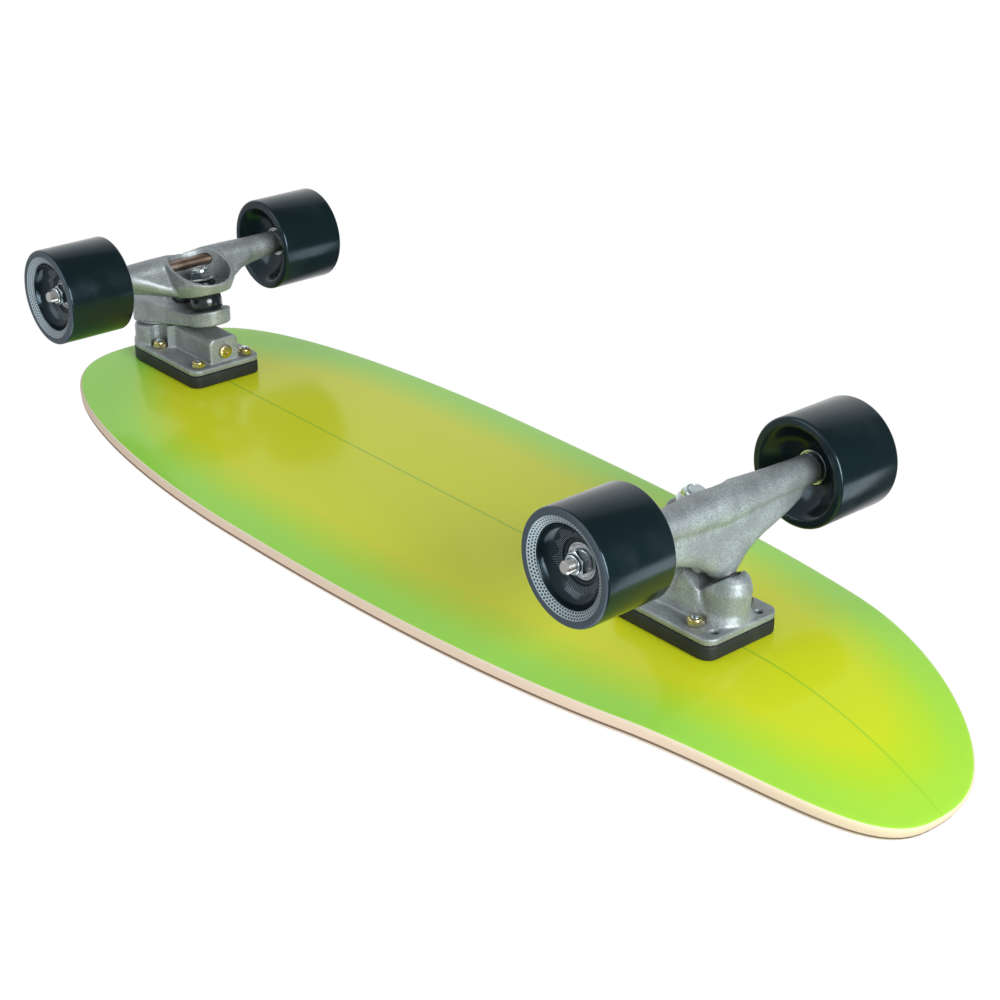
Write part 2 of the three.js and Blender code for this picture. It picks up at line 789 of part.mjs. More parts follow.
const rear_stack = stackOf(rear_lower_bushing_height, rear_ring_thickness, rear_upper_bushing_height);
const rear_head_depth = (rear_seat_z - base_bottom) / Math.cos(rear_kingpin_tilt) - overrun;

// The round tower for the ball, domed on top and cut off square to the ball's cup at its mouth
function rearTower(bottom) {
  const rings = rear_tower_shares.map(([height_share, length_share, width_share, lean_share]) => oval(
    rear_tower_x + rear_tower_lean * lean_share,
    rear_tower_top * height_share,
    0,
    (rear_tower_length / 2) * length_share,
    (rear_tower_width / 2) * width_share,
  ));
  const foot = oval(
    rear_tower_x, bottom, 0, rear_tower_foot_length / 2, rear_tower_foot_width / 2,
    rear_tower_foot_square_share,
  );
  const mouth = pivot_cup_mouth - rear_mouth_drop;
  const [mouth_x, mouth_z] = pointAlong(rear_ball_x, rear_ball_z, pivot_cup_tilt, mouth);
  return cut(solid(loft([foot, ...rings])), blockAbove(mouth_x, mouth_z, pivot_cup_tilt));
}

// The sloping block that fills the base between the kingpin's boss and the tower
function rearSaddle(bottom) {
  return loft([
    oval(
      rear_saddle_x, bottom, 0, rear_saddle_length / 2, rear_saddle_width / 2, rear_saddle_square_share,
    ),
    oval(
      rear_saddle_top_x, rear_saddle_top_z, rear_saddle_tilt,
      rear_saddle_top_length / 2, rear_saddle_top_width / 2, rear_saddle_square_share,
    ),
  ]);
}

function buildRearBase() {
  const spare_holes = [[rear_spare_hole_x, -rear_spare_hole_y], [rear_spare_hole_x, rear_spare_hole_y]];
  const riser = prism(riserShape(rearOutline(), bolt_holes), seat_gap, seat_gap + riser_thickness);
  add(rear_truck, 'rear_riser_pad', riser, riser_finish);
  const plate = prism(riserShape(rearOutline(), [...bolt_holes, ...spare_holes]), base_bottom, flange_top);
  const inside = base_bottom + flange_thickness / 2;
  const boss = loft([
    oval(rear_boss_x, inside, 0, rear_boss_half_length, rear_boss_half_width, rear_boss_square_share),
    oval(rear_seat_x, rear_seat_z, rear_kingpin_tilt, rear_seat_radius, rear_seat_radius),
  ]);
  const pockets = bolt_holes.map(([x, y]) => (
    rod(rear_nut_pocket_radius, flange_top, cut_reach).translate(x, y, 0)
  ));
  const casting = cut(
    joined(plate, boss, rearSaddle(inside)).add(rearTower(inside)),
    ...pockets,
    pivotHole(rear_ball_x, rear_ball_z),
    ...kingpinHoles(rear_seat_x, rear_seat_z, rear_kingpin_tilt, rear_head_depth),
  );
  add(rear_truck, 'rear_base', casting, cast_finish);
  const cup = placed(pivotCup(), rear_ball_x, rear_ball_z, pivot_cup_tilt);
  add(rear_truck, 'rear_pivot_cup', cup, cup_finish);
}

// The yoke that reaches from the axle down to the ball: ovals that narrow on the way
function rearYoke() {
  const foot = [rear_ball_x, rear_ball_z, pivot_cup_tilt];
  const [neck_x, neck_z] = pointAlong(...foot, rear_neck_length);
  const drop = axle_drop - neck_z;
  const lean = Math.atan2(neck_x - rear_axle_x, drop);
  const rings = rear_yoke_shares.map(([down_share, width_share]) => oval(
    rear_axle_x + (neck_x - rear_axle_x) * down_share,
    axle_drop - drop * down_share,
    -lean,
    rear_yoke_half_depth + (neck_radius - rear_yoke_half_depth) * down_share,
    rear_yoke_half_width * width_share,
  ));
  rings.push(oval(neck_x, neck_z, (pivot_cup_tilt - lean) / 2, neck_radius, rear_neck_half_width));
  const foot_radius = neck_radius * neck_foot_share;
  const [mouth_x, mouth_z] = pointAlong(...foot, pivot_cup_mouth);
  rings.push(oval(mouth_x, mouth_z, pivot_cup_tilt, foot_radius, foot_radius));
  rings.push(oval(...foot, foot_radius, foot_radius));
  return loft(rings.reverse());
}

// The keel that fills the hanger between the ring and the yoke, and follows the saddle below it
function rearKeel() {
  const saddle = [rear_saddle_top_x, rear_saddle_top_z, rear_saddle_tilt];
  const over = pointAlong(...saddle, rear_keel_gap);
  const [x, z] = pointAlong(...over, rear_saddle_tilt - Math.PI / 2, rear_keel_shift);
  return loft([
    oval(x, z, rear_saddle_tilt, rear_keel_length / 2, rear_keel_width / 2, rear_keel_square_share),
    oval(
      rear_keel_top_x, rear_keel_top_z, rear_kingpin_tilt,
      rear_keel_top_length / 2, rear_keel_top_width / 2, rear_keel_square_share,
    ),
  ]);
}

function buildRearHanger() {
  const [ring_x, ring_z] = pointAlong(rear_seat_x, rear_seat_z, rear_kingpin_tilt, rear_stack.ring_middle);
  const ring = rod(rear_ring_radius, -rear_ring_thickness / 2, rear_ring_thickness / 2, round_sides);
  const gusset = web(
    rear_axle_x, rear_tube_end_radius - seat_gap, ring_x, ring_z, rear_web_half_width, rear_web_stations,
  );
  const tube = hangerTube(rear_axle_x, [
    [rear_tube_middle_radius, 0], [rear_tube_shoulder_radius, rear_tube_shoulder_share],
    [rear_tube_end_radius, rear_tube_taper_share], [rear_tube_end_radius, 1],
  ]);
  const well = loft([rear_ring_thickness / 2, hole_reach].map((height) => oval(
    ...pointAlong(ring_x, ring_z, rear_kingpin_tilt, height),
    rear_kingpin_tilt, rear_well_half_length, rear_well_half_width,
  )));
  const casting = cut(
    joined(
      placed(ring, ring_x, ring_z, rear_kingpin_tilt),
      gusset,
      tube,
      rearYoke(),
      rearKeel(),
      ball(rear_ball_x, rear_ball_z),
    ),
    well,
    placed(rod(ring_hole_radius, -ring_hole_reach, ring_hole_reach), ring_x, ring_z, rear_kingpin_tilt),
    axleShape(running_gap).translate(rear_axle_x, 0, axle_drop),
  );
  add(rear_truck, 'rear_hanger', casting, cast_finish);
}

function buildRearTruck() {
  buildRearBase();
  buildRearHanger();
  buildKingpin(
    rear_truck, 'rear', rear_seat_x, rear_seat_z, rear_kingpin_tilt, rear_stack,
    rear_upper_bushing_radius, rear_head_depth,
  );
  buildAxle(rear_truck, 'rear', rear_axle_x, 1);
}

// Front truck

const front_stack = stackOf(front_lower_bushing_height, front_ring_thickness, front_upper_bushing_height);
const bearing_plane_depth = thrust_bearing_thickness + 2 * seat_gap;

function frontOutline() {
  const shape = new THREE.Shape();
  const left = riser_corner_radius - front_riser_inner;
  const up = riser_half_width - riser_corner_radius;
  shape.absarc(front_nose_x, 0, riser_half_width, -Math.PI / 2, Math.PI / 2);
  shape.absarc(left, up, riser_corner_radius, Math.PI / 2, Math.PI);
  shape.absarc(left, -up, riser_corner_radius, Math.PI, 1.5 * Math.PI);
  shape.closePath();
  return shape;
}

function springBox() {
  const side = spring_box_half_width;
  const shoulder = side - spring_box_chamfer;
  const shape = new THREE.Shape();
  shape.moveTo(-side, base_bottom + flange_thickness / 2);
  shape.lineTo(side, base_bottom + flange_thickness / 2);
  shape.lineTo(side, spring_box_top - spring_box_chamfer);
  shape.lineTo(shoulder, spring_box_top);
  shape.lineTo(-shoulder, spring_box_top);
  shape.lineTo(-side, spring_box_top - spring_box_chamfer);
  shape.closePath();
  const upright = prism(shape, -spring_box_inner, tower_x).rotateX(Math.PI / 2);
  return upright.rotateZ(Math.PI / 2);
}

function buildFrontBase() {
  const pad_top = seat_gap + riser_thickness;
  const riser = prism(riserShape(frontOutline(), bolt_holes), seat_gap, pad_top, nose_steps);
  add(front_truck, 'front_riser_pad', riser, riser_finish);
  const plate = prism(riserShape(frontOutline(), bolt_holes), base_bottom, flange_top, nose_steps);
  const inside = base_bottom + flange_thickness / 2;
  const tower = rod(tower_radius, inside, hole_reach, round_sides).translate(tower_x, 0, 0);
  const [top_x, top_z] = pointAlong(swing_x, swing_z, swing_tilt, -bearing_plane_depth);
  const pockets = [half_width, -half_width].map((y) => turned([
    [0, 0], [deck_bolt_radius + running_gap, 0], [deck_bolt_radius + running_gap, flange_top],
    [nut_pocket_radius, flange_top], [nut_pocket_radius, cut_reach], [0, cut_reach],
  ], small_sides).translate(half_length, y, 0));
  const bore_depth = (top_z - base_bottom) / Math.cos(swing_tilt) - tower_floor;
  const chamber = rod(spring_chamber_radius, spring_box_wall - spring_box_inner, swing_x, small_sides);
  const adjuster_hole = rod(adjuster_radius + running_gap, -spring_box_inner - overrun, 0);
  const casting = cut(
    joined(plate, tower, springBox()),
    blockAbove(top_x, top_z, swing_tilt),
    ...pockets,
    placed(rod(tower_bore_radius, -bore_depth, overrun, round_sides), top_x, top_z, swing_tilt),
    placed(rod(swing_bolt_radius + running_gap, -hole_reach, 0), top_x, top_z, swing_tilt),
    chamber.rotateY(Math.PI / 2).translate(0, 0, spring_z),
    adjuster_hole.rotateY(Math.PI / 2).translate(0, 0, spring_z),
  );
  add(front_truck, 'front_base', casting, cast_finish);
  const race = sleeve(
    tower_bore_radius + seat_gap + thrust_bearing_width, tower_bore_radius + seat_gap,
    seat_gap, seat_gap + thrust_bearing_thickness,
  );
  add(front_truck, 'swing_thrust_bearing', placed(race, top_x, top_z, swing_tilt), steel_finish);
}

class Coil extends THREE.Curve {
  constructor(radius, start, end, turns) {
    super();
    Object.assign(this, { radius, start, end, turns });
  }

  getPoint(t, target = new THREE.Vector3()) {
    const angle = 2 * Math.PI * this.turns * t;
    const along = this.start + (this.end - this.start) * t;
    return target.set(along, this.radius * Math.sin(angle), this.radius * Math.cos(angle));
  }
}

const spring_start = spring_box_wall + spring_wire_radius + seat_gap - spring_box_inner;
const lug_x = swing_x - spring_lug_reach;
const spring_end = lug_x - spring_lug_radius - spring_wire_radius - seat_gap;

function buildSpring() {
  const wire = new THREE.Shape().absarc(0, 0, spring_wire_radius, 0, 2 * Math.PI);
  const path = new Coil(spring_radius, spring_start, spring_end, spring_turns);
  const outline = wire.getSpacedPoints(wire_sides);
  const settings = { steps: spring_turns * steps_per_turn, bevelEnabled: false, extrudePath: path };
  const coil = new THREE.ExtrudeGeometry(new THREE.Shape(outline.slice(0, -1)), settings);
  add(front_truck, 'return_spring', coil, spring_finish).position.z = spring_z;
  const plug_radius = spring_radius - spring_wire_radius - seat_gap;
  const plug_end = spring_start + spring_plug_length;
  const plug = sleeve(plug_radius, adjuster_radius + running_gap, spring_start, plug_end, small_sides);
  add(front_truck, 'spring_plug', plug.rotateY(Math.PI / 2), zinc_finish).position.z = spring_z;
  const face = -spring_box_inner - seat_gap;
  const outside = face - adjuster_head_height;
  const screw = turned([
    [0, outside + adjuster_socket_depth], [adjuster_socket_radius, outside + adjuster_socket_depth],
    [adjuster_socket_radius, outside], [adjuster_head_radius, outside], [adjuster_head_radius, face],
    [adjuster_radius, face], [adjuster_radius, plug_end], [0, plug_end],
  ], small_sides);
  add(front_truck, 'spring_adjuster', screw.rotateY(Math.PI / 2), zinc_finish).position.z = spring_z;
}

// The arm's outline from above: a round nose on the swing axis, drawn in to a round paddle
function armOutline(nose_x, paddle_x) {
  const lean = Math.asin((arm_nose_radius - arm_paddle_radius) / (nose_x - paddle_x));
  const shape = new THREE.Shape();
  shape.absarc(nose_x, 0, arm_nose_radius, lean - Math.PI / 2, Math.PI / 2 - lean);
  shape.absarc(paddle_x, 0, arm_paddle_radius, Math.PI / 2 - lean, 1.5 * Math.PI + lean);
  shape.closePath();
  return shape;
}

function buildSwingArm() {
  const seat = [front_seat_x, front_seat_z, front_kingpin_tilt];
  const [nose_x] = pointAlong(swing_x, swing_z, swing_tilt, (arm_top - swing_z) / 2);
  const [paddle_x] = pointAlong(...seat, -arm_paddle_thickness / 2);
  const slab = prism(armOutline(nose_x, paddle_x), base_bottom, arm_top, nose_steps);
  const block = prism(armOutline(nose_x, paddle_x), base_bottom, arm_boss_top, nose_steps);
  const paddle = cut(solid(block), blockAbove(...seat));
  const boss_depth = ball_radius + ball_gap + pivot_cup_floor + arm_boss_floor;
  const boss = rod(arm_boss_radius, -boss_depth, pivot_cup_mouth + seat_gap, round_sides);
  const body = cut(
    joined(slab, placed(boss, front_ball_x, front_ball_z, pivot_cup_tilt)).add(paddle),
    blockBelow(swing_x, swing_z, swing_tilt),
    blockAbove(front_ball_x, arm_boss_top, 0),
    placed(rod(front_seat_radius, 0, hole_reach, round_sides), ...seat),
    pivotHole(front_ball_x, front_ball_z),
    ...kingpinHoles(...seat, arm_paddle_thickness),
    placed(rod(swing_bolt_radius + running_gap, -overrun, hole_reach), swing_x, swing_z, swing_tilt),
    swingBoltSpot(),
  );
  const lug_top = swing_z + spring_lug_reach * Math.tan(swing_tilt) + overrun;
  const lug = rod(spring_lug_radius, spring_lug_end, lug_top).translate(lug_x, 0, 0);
  add(front_truck, 'swing_arm', body.add(solid(lug)), cast_finish);
  const cup = placed(pivotCup(), front_ball_x, front_ball_z, pivot_cup_tilt);
  add(front_truck, 'front_pivot_cup', cup, cup_finish);
}

const bolt_head_seat = (arm_top - swing_z) / Math.cos(swing_tilt) - overrun;

// The flat that the swing bolt's head sits on, square to the swing axis
function swingBoltSpot() {
  const radius = swing_bolt_head_across / Math.sqrt(3) + swing_bolt_spot_margin;
  return placed(rod(radius, bolt_head_seat, hole_reach, round_sides), swing_x, swing_z, swing_tilt);
}

function buildSwingBolt() {
  const under = bolt_head_seat + seat_gap;
  const foot = (base_bottom - swing_z) / Math.cos(swing_tilt) + swing_bolt_foot_gap;
  const head = prism(hexagon(swing_bolt_head_across), under, under + swing_bolt_head_height);
  const shank = rod(swing_bolt_radius, foot, under + overrun);
  const bolt = joined(head, shank);
  const geometry = placed(geometryOf(bolt), swing_x, swing_z, swing_tilt);
  add(front_truck, 'swing_bolt', geometry, steel_finish);
}

function buildFrontHanger() {
  const seat = [front_seat_x, front_seat_z, front_kingpin_tilt];
  const [ring_x, ring_z] = pointAlong(...seat, front_stack.ring_bottom);
  const wall = front_bowl_radius + front_bowl_wall;
  const bowl = turned([
    [0, 0], [front_ring_radius, 0], [wall, front_bowl_flare_height], [wall, hole_reach], [0, hole_reach],
  ], round_sides);
  const tube_radius = front_tube_end_radius - seat_gap;
  const [floor_x, floor_z] = pointAlong(ring_x, ring_z, front_kingpin_tilt, front_ring_thickness / 2);
  const gusset = web(front_axle_x, tube_radius, floor_x, floor_z, front_web_half_width, front_web_stations);
  const foot = [front_ball_x, front_ball_z, pivot_cup_tilt];
  const [neck_x, neck_z] = pointAlong(...foot, front_neck_length);
  const yoke = web(
    front_axle_x, tube_radius, neck_x, neck_z, front_yoke_half_width, front_yoke_stations,
  );
  const lipped = cut(
    joined(placed(bowl, ring_x, ring_z, front_kingpin_tilt), gusset, yoke),
    blockAbove(front_rim_x, front_rim_z, front_rim_tilt),
    blockAbove(front_axle_x, axle_drop + front_tube_middle_radius, front_brow_tilt),
  );
  const tube = hangerTube(front_axle_x, [
    [front_tube_middle_radius, 0], [front_tube_middle_radius, front_tube_shoulder_share],
    [front_tube_end_radius, front_tube_taper_share], [front_tube_end_radius, 1],
  ]);
  const stub = rod(neck_radius * neck_foot_share, 0, front_neck_length, round_sides, neck_radius);
  const bore = rod(front_bowl_radius, front_ring_thickness, cut_reach, round_sides);
  const casting = cut(
    lipped.add(joined(
      tube,
      placed(stub, ...foot),
      ball(front_ball_x, front_ball_z),
    )),
    placed(bore, ring_x, ring_z, front_kingpin_tilt),
    placed(rod(ring_hole_radius, -overrun, hole_reach), ring_x, ring_z, front_kingpin_tilt),
    axleShape(running_gap).translate(front_axle_x, 0, axle_drop),
  );
  add(front_truck, 'front_hanger', casting, cast_finish);
}

function buildFrontTruck() {
  buildFrontBase();
  buildSpring();
  buildSwingArm();
  buildSwingBolt();
  buildFrontHanger();
  buildKingpin(
    front_truck, 'front', front_seat_x, front_seat_z, front_kingpin_tilt, front_stack,
    front_upper_bushing_radius, arm_paddle_thickness,
  );
  buildAxle(front_truck, 'front', front_axle_x, -1);
}

buildDeck();
buildDeckBolts();
buildRearTruck();
buildFrontTruck();

export default board;
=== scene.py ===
# %% [markdown]
# # A surf skateboard
# A short wooden board stands on four wide soft wheels. Its two trucks are cast in aluminium, and
# the one at the nose hangs from an arm that swings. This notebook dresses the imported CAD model:
# it loads the model as a fixed frame, makes a finer piece for each plain one, and gives each
# piece its finish.

# %% Load the frame
import json
import math
import bpy
from mathutils import Matrix, Vector
from mathutils.kdtree import KDTree

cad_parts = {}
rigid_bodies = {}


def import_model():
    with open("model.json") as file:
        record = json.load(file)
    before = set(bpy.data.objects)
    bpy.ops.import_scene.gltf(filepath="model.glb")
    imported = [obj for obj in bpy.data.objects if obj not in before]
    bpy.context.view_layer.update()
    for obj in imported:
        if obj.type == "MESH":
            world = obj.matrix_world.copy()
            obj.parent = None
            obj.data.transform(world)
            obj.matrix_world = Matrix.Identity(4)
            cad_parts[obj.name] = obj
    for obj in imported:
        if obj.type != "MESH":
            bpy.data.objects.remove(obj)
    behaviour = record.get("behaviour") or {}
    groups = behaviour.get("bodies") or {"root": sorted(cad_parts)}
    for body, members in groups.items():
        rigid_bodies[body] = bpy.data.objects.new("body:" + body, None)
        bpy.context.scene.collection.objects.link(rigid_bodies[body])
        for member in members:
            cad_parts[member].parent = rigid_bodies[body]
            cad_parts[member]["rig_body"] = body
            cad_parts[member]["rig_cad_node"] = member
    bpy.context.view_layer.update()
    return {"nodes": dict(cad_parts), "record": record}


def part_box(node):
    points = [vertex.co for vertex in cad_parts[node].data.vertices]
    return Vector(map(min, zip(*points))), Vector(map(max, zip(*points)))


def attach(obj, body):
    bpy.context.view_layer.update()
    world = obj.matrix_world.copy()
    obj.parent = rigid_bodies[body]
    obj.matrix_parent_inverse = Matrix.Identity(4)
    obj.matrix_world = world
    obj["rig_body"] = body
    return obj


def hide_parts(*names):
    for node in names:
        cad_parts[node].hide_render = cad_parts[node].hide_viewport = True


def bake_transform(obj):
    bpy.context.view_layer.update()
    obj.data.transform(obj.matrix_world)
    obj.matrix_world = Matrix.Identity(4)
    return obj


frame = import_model()
MM = 0.001

# %% [markdown]
# ## Places
# Each truck is easiest to think of in its own frame, which stands on the deck's underside: x runs
# to the near end of the board and z away from the deck, down to the road. The front truck's frame
# is turned about the long axis, and the rear one's about the cross axis. One small function turns
# a place and a lean in a truck's frame into a place and a turn about the cross axis in the
# board's frame.

# %% Places on the trucks
DECK_HEIGHT = 115.0
BOLT_MIDDLE = {"front": 315.25, "rear": -198.95}
TOWARDS = {"front": 1, "rear": -1}


def on_truck(end, x, z, lean=0.0, distance=0.0):
    """A point of a truck's middle plane, moved along a lean, and the turn of +Z to that lean."""
    x += distance * math.sin(lean)
    z += distance * math.cos(lean)
    place = (BOLT_MIDDLE[end] + TOWARDS[end] * x, 0.0, DECK_HEIGHT - z)
    return place, math.pi - TOWARDS[end] * lean


def middle_of(node):
    low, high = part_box(node)
    return (low + high) / 2


AXLE_X = {end: middle_of(f"{end}_axle").x / MM for end in TOWARDS}
AXLE_Z = middle_of("rear_axle").z / MM
print("axles at", AXLE_X, "and", round(AXLE_Z, 2), "mm above the ground")

# %% [markdown]
# ## Ways to make a shape
# Most of a truck's small parts are turned: a wheel, a nut's bore, a bushing. A turned piece
# starts as a circle whose corners are moved to the points of a profile, and the spin operator
# sweeps it round Z. A flat piece, such as the deck or a riser, starts as a filled circle whose
# corners are moved to an outline, is extruded, and has its rims bevelled. A boolean modifier
# joins two such shapes or cuts one from another.

# %% Choosing and naming
def only(ob):
    bpy.ops.object.select_all(action="DESELECT")
    ob.select_set(True)
    bpy.context.view_layer.objects.active = ob


def named(name):
    ob = bpy.context.object
    ob.name = name
    ob.data.name = name
    return ob


def edit(ob, *steps):
    """Runs steps in edit mode, each on the whole mesh."""
    only(ob)
    bpy.ops.object.mode_set(mode="EDIT")
    for step in steps:
        bpy.ops.mesh.select_all(action="SELECT")
        step()
    bpy.ops.object.mode_set(mode="OBJECT")
    return ob


def pick_edges(ob, test):
    """Selects the edges whose two ends pass a test, ready for edit mode."""
    only(ob)
    bpy.context.tool_settings.mesh_select_mode = (False, True, False)
    mesh = ob.data
    for part in (mesh.vertices, mesh.edges, mesh.polygons):
        part.foreach_set("select", [False] * len(part))
    for edge in mesh.edges:
        ends = [mesh.vertices[i].co for i in edge.vertices]
        edge.select = test(*ends)


# %% Turned pieces
WELD_DISTANCE = 1e-6


def clean_up():
    """Welds the points that meet, drops loose ones and turns all faces outwards."""
    bpy.ops.mesh.remove_doubles(threshold=WELD_DISTANCE)
    bpy.ops.mesh.select_all(action="SELECT")
    bpy.ops.mesh.delete_loose()
    bpy.ops.mesh.select_all(action="SELECT")
    bpy.ops.mesh.normals_make_consistent(inside=False)


def turned(name, profile, steps):
    """Spins a loop of (radius, height) points, in millimetres, round Z."""
    bpy.ops.mesh.primitive_circle_add(vertices=len(profile), radius=MM)
    ob = named(name)
    for vertex, (radius, height) in zip(ob.data.vertices, profile):
        vertex.co = (radius * MM, 0, height * MM)

    def spin():
        bpy.ops.mesh.spin(steps=steps, angle=2 * math.pi, center=(0, 0, 0), axis=(0, 0, 1))

    return edit(ob, spin, clean_up)


# %% Flat pieces
LEVEL = MM / 100


def slab(name, outline, bottom, top, rounding, segments):
    """Extrudes an outline of (x, y) points, in millimetres, and rounds its two rims."""
    bpy.ops.mesh.primitive_circle_add(vertices=len(outline), radius=MM, fill_type="NGON")
    ob = named(name)
    for vertex, (x, y) in zip(ob.data.vertices, outline):
        vertex.co = (x * MM, y * MM, bottom * MM)

    def rise():
        move = {"value": (0, 0, (top - bottom) * MM)}
        bpy.ops.mesh.extrude_region_move(TRANSFORM_OT_translate=move)

    edit(ob, rise, clean_up)
    pick_edges(ob, lambda a, b: abs(a.z - b.z) < LEVEL)
    bpy.ops.object.mode_set(mode="EDIT")
    bpy.ops.mesh.bevel(offset=rounding * MM, segments=segments, affect="EDGES")
    bpy.ops.object.mode_set(mode="OBJECT")
    return ob


# %% Modifiers, joins and places
def modify(ob, kind, **settings):
    """Adds a modifier and applies it."""
    only(ob)
    modifier = ob.modifiers.new(kind.title(), kind)
    for key, value in settings.items():
        setattr(modifier, key, value)
    bpy.ops.object.modifier_apply(modifier=modifier.name)


def combine(ob, operation, *others):
    """Applies a boolean with each of the others and removes them."""
    for other in others:
        modify(ob, "BOOLEAN", operation=operation, object=other, solver="EXACT")
        bpy.data.objects.remove(other)
    return ob


def settle(ob):
    """Makes a piece's place, turn and scale part of its mesh."""
    only(ob)
    bpy.ops.object.transform_apply(location=True, rotation=True, scale=True)
    return ob


def put(ob, at, about_y=0.0, about_x=0.0, about_z=0.0):
    """Turns a piece and moves it to a place, in millimetres."""
    ob.location = Vector(at) * MM
    ob.rotation_euler = (about_x, about_y, about_z)
    return settle(ob)


def twin(ob, name):
    only(ob)
    bpy.ops.object.duplicate(linked=False)
    return named(name)


# %% [markdown]
# ## The last steps of every piece
# Curved faces are shaded smooth and sharp corners stay sharp. The piece then gets its finish,
# rides on its body when one is given, and stands for the plain CAD node that it was made for.

# %% Finish a piece
def shade(ob, degrees=35):
    only(ob)
    bpy.ops.object.shade_smooth_by_angle(angle=math.radians(degrees))
    return ob


def dress(ob, material, node, body=None):
    ob.data.materials.clear()
    ob.data.materials.append(material)
    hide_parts(node)
    if body:
        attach(ob, body)


def body_of(node):
    bodies = frame["record"]["behaviour"]["bodies"]
    return next(body for body, members in bodies.items() if node in members)


# %% [markdown]
# ## Ways to make a finish
# A finish is a graph of nodes. Written as code, a graph soon gets long, so a small class wraps
# one output socket: adding or multiplying wires adds the Math nodes. Every other node comes from
# one method.

# %% Node helpers
class Wire:
    """One output socket. Arithmetic on it adds Math nodes to its own graph."""

    def __init__(self, graph, socket):
        self.graph = graph
        self.socket = socket

    def math(self, operation, *values):
        return self.graph.node("ShaderNodeMath", {"operation": operation}, *values)

    def __add__(self, other):
        return self.math("ADD", self, other)

    def __sub__(self, other):
        return self.math("SUBTRACT", self, other)

    def __rsub__(self, other):
        return self.math("SUBTRACT", other, self)

    def __mul__(self, other):
        return self.math("MULTIPLY", self, other)

    def __truediv__(self, other):
        return self.math("DIVIDE", self, other)

    __radd__ = __add__

    def under(self, limit):
        return self.math("LESS_THAN", self, limit)

    def over(self, limit):
        return self.math("GREATER_THAN", self, limit)

    def fraction(self):
        return self.math("FRACT", self)

    def size(self):
        return self.math("ABSOLUTE", self)

    def ease(self, low, high):
        """0 below low, 1 above high and a smooth rise between."""
        smooth = {"interpolation_type": "SMOOTHSTEP"}
        return self.graph.node("ShaderNodeMapRange", smooth, self, low, high)


class Graph:
    """A node tree, its shader, and short ways to add the nodes that feed it."""

    def __init__(self, owner, shader):
        owner.use_nodes = True
        self.tree = owner.node_tree
        self.shader = self.tree.nodes[shader]

    def connect(self, socket, value):
        if isinstance(value, Wire):
            self.tree.links.new(value.socket, socket)
        elif isinstance(value, (tuple, list)) and len(value) == 3 and socket.type == "RGBA":
            socket.default_value = (*value, 1)
        else:
            socket.default_value = value

    def feed(self, **inputs):
        """Connects values to the shader's inputs, such as base_color to Base Color."""
        for name, value in inputs.items():
            label = name.replace("_", " ").title().replace("Ior", "IOR")
            self.connect(self.shader.inputs[label], value)

    def node(self, kind, settings=None, *values, out=0, **named_inputs):
        """Adds a node. Values go to its inputs in order, or by name, and one output comes back."""
        made = self.tree.nodes.new(kind)
        for key, value in (settings or {}).items():
            if key == "stops":
                self.set_stops(made.color_ramp.elements, value)
            else:
                setattr(made, key, value)
        for socket, value in zip(made.inputs, values):
            self.connect(socket, value)
        for name, value in named_inputs.items():
            self.connect(made.inputs[name.title()], value)
        return Wire(self, made.outputs[out])

    def set_stops(self, elements, stops):
        while len(elements) < len(stops):
            elements.new(1)
        for element, (place, colour) in zip(elements, stops):
            element.position = place
            element.color = (*colour, 1)

    def place(self, offset=(0, 0, 0), scale=(1, 1, 1)):
        """The piece's own coordinates, in metres, moved and then scaled."""
        coordinates = self.node("ShaderNodeTexCoord", out="Object")
        return self.vector("MULTIPLY", self.vector("SUBTRACT", coordinates, offset), scale)

    def vector(self, operation, *values, out=0):
        return self.node("ShaderNodeVectorMath", {"operation": operation}, *values, out=out)

    def axes(self, vector):
        split = self.node("ShaderNodeSeparateXYZ", None, vector).socket.node
        return [Wire(self, socket) for socket in split.outputs]

    def noise(self, vector, scale, detail=2.0, roughness=0.5):
        return self.node(
            "ShaderNodeTexNoise", None, vector, scale=scale, detail=detail, roughness=roughness)

    def mix(self, factor, first, second):
        """A blend of two colours, which are inputs 6 and 7 of the node."""
        mixed = self.node("ShaderNodeMix", {"data_type": "RGBA"}, factor, out=2)
        self.connect(mixed.socket.node.inputs[6], first)
        self.connect(mixed.socket.node.inputs[7], second)
        return mixed

    def ramp(self, value, stops):
        return self.node("ShaderNodeValToRGB", {"stops": stops}, value)

    def bump(self, height, distance, strength=1.0, normal=None):
        """Small relief, its height in units of a distance in metres."""
        below = {"normal": normal} if normal else {}
        return self.node(
            "ShaderNodeBump", None, height=height, distance=distance, strength=strength, **below)


class Paint(Graph):
    """A finish: a Principled shader, its uniform values, and the nodes that feed it."""

    def __init__(self, name, **uniform):
        self.material = bpy.data.materials.new(name)
        super().__init__(self.material, "Principled BSDF")
        self.feed(**uniform)


# %% [markdown]
# ## Castings
# The truck castings are tumbled after they leave the mould, so that their corners are soft and
# their skin is an even grey grain with fine sparkle, a little patchy from handling. The CAD
# castings have the right shape with hard corners. A copy of each is merged, remeshed in small
# cubes and smoothed, which rounds every corner and blends every joint as the tumbling does.

# %% Cast aluminium
CAST_METALLIC = 0.55
CAST_ROUGHNESS = 0.5
HOLLOW_SHADE = 0.72


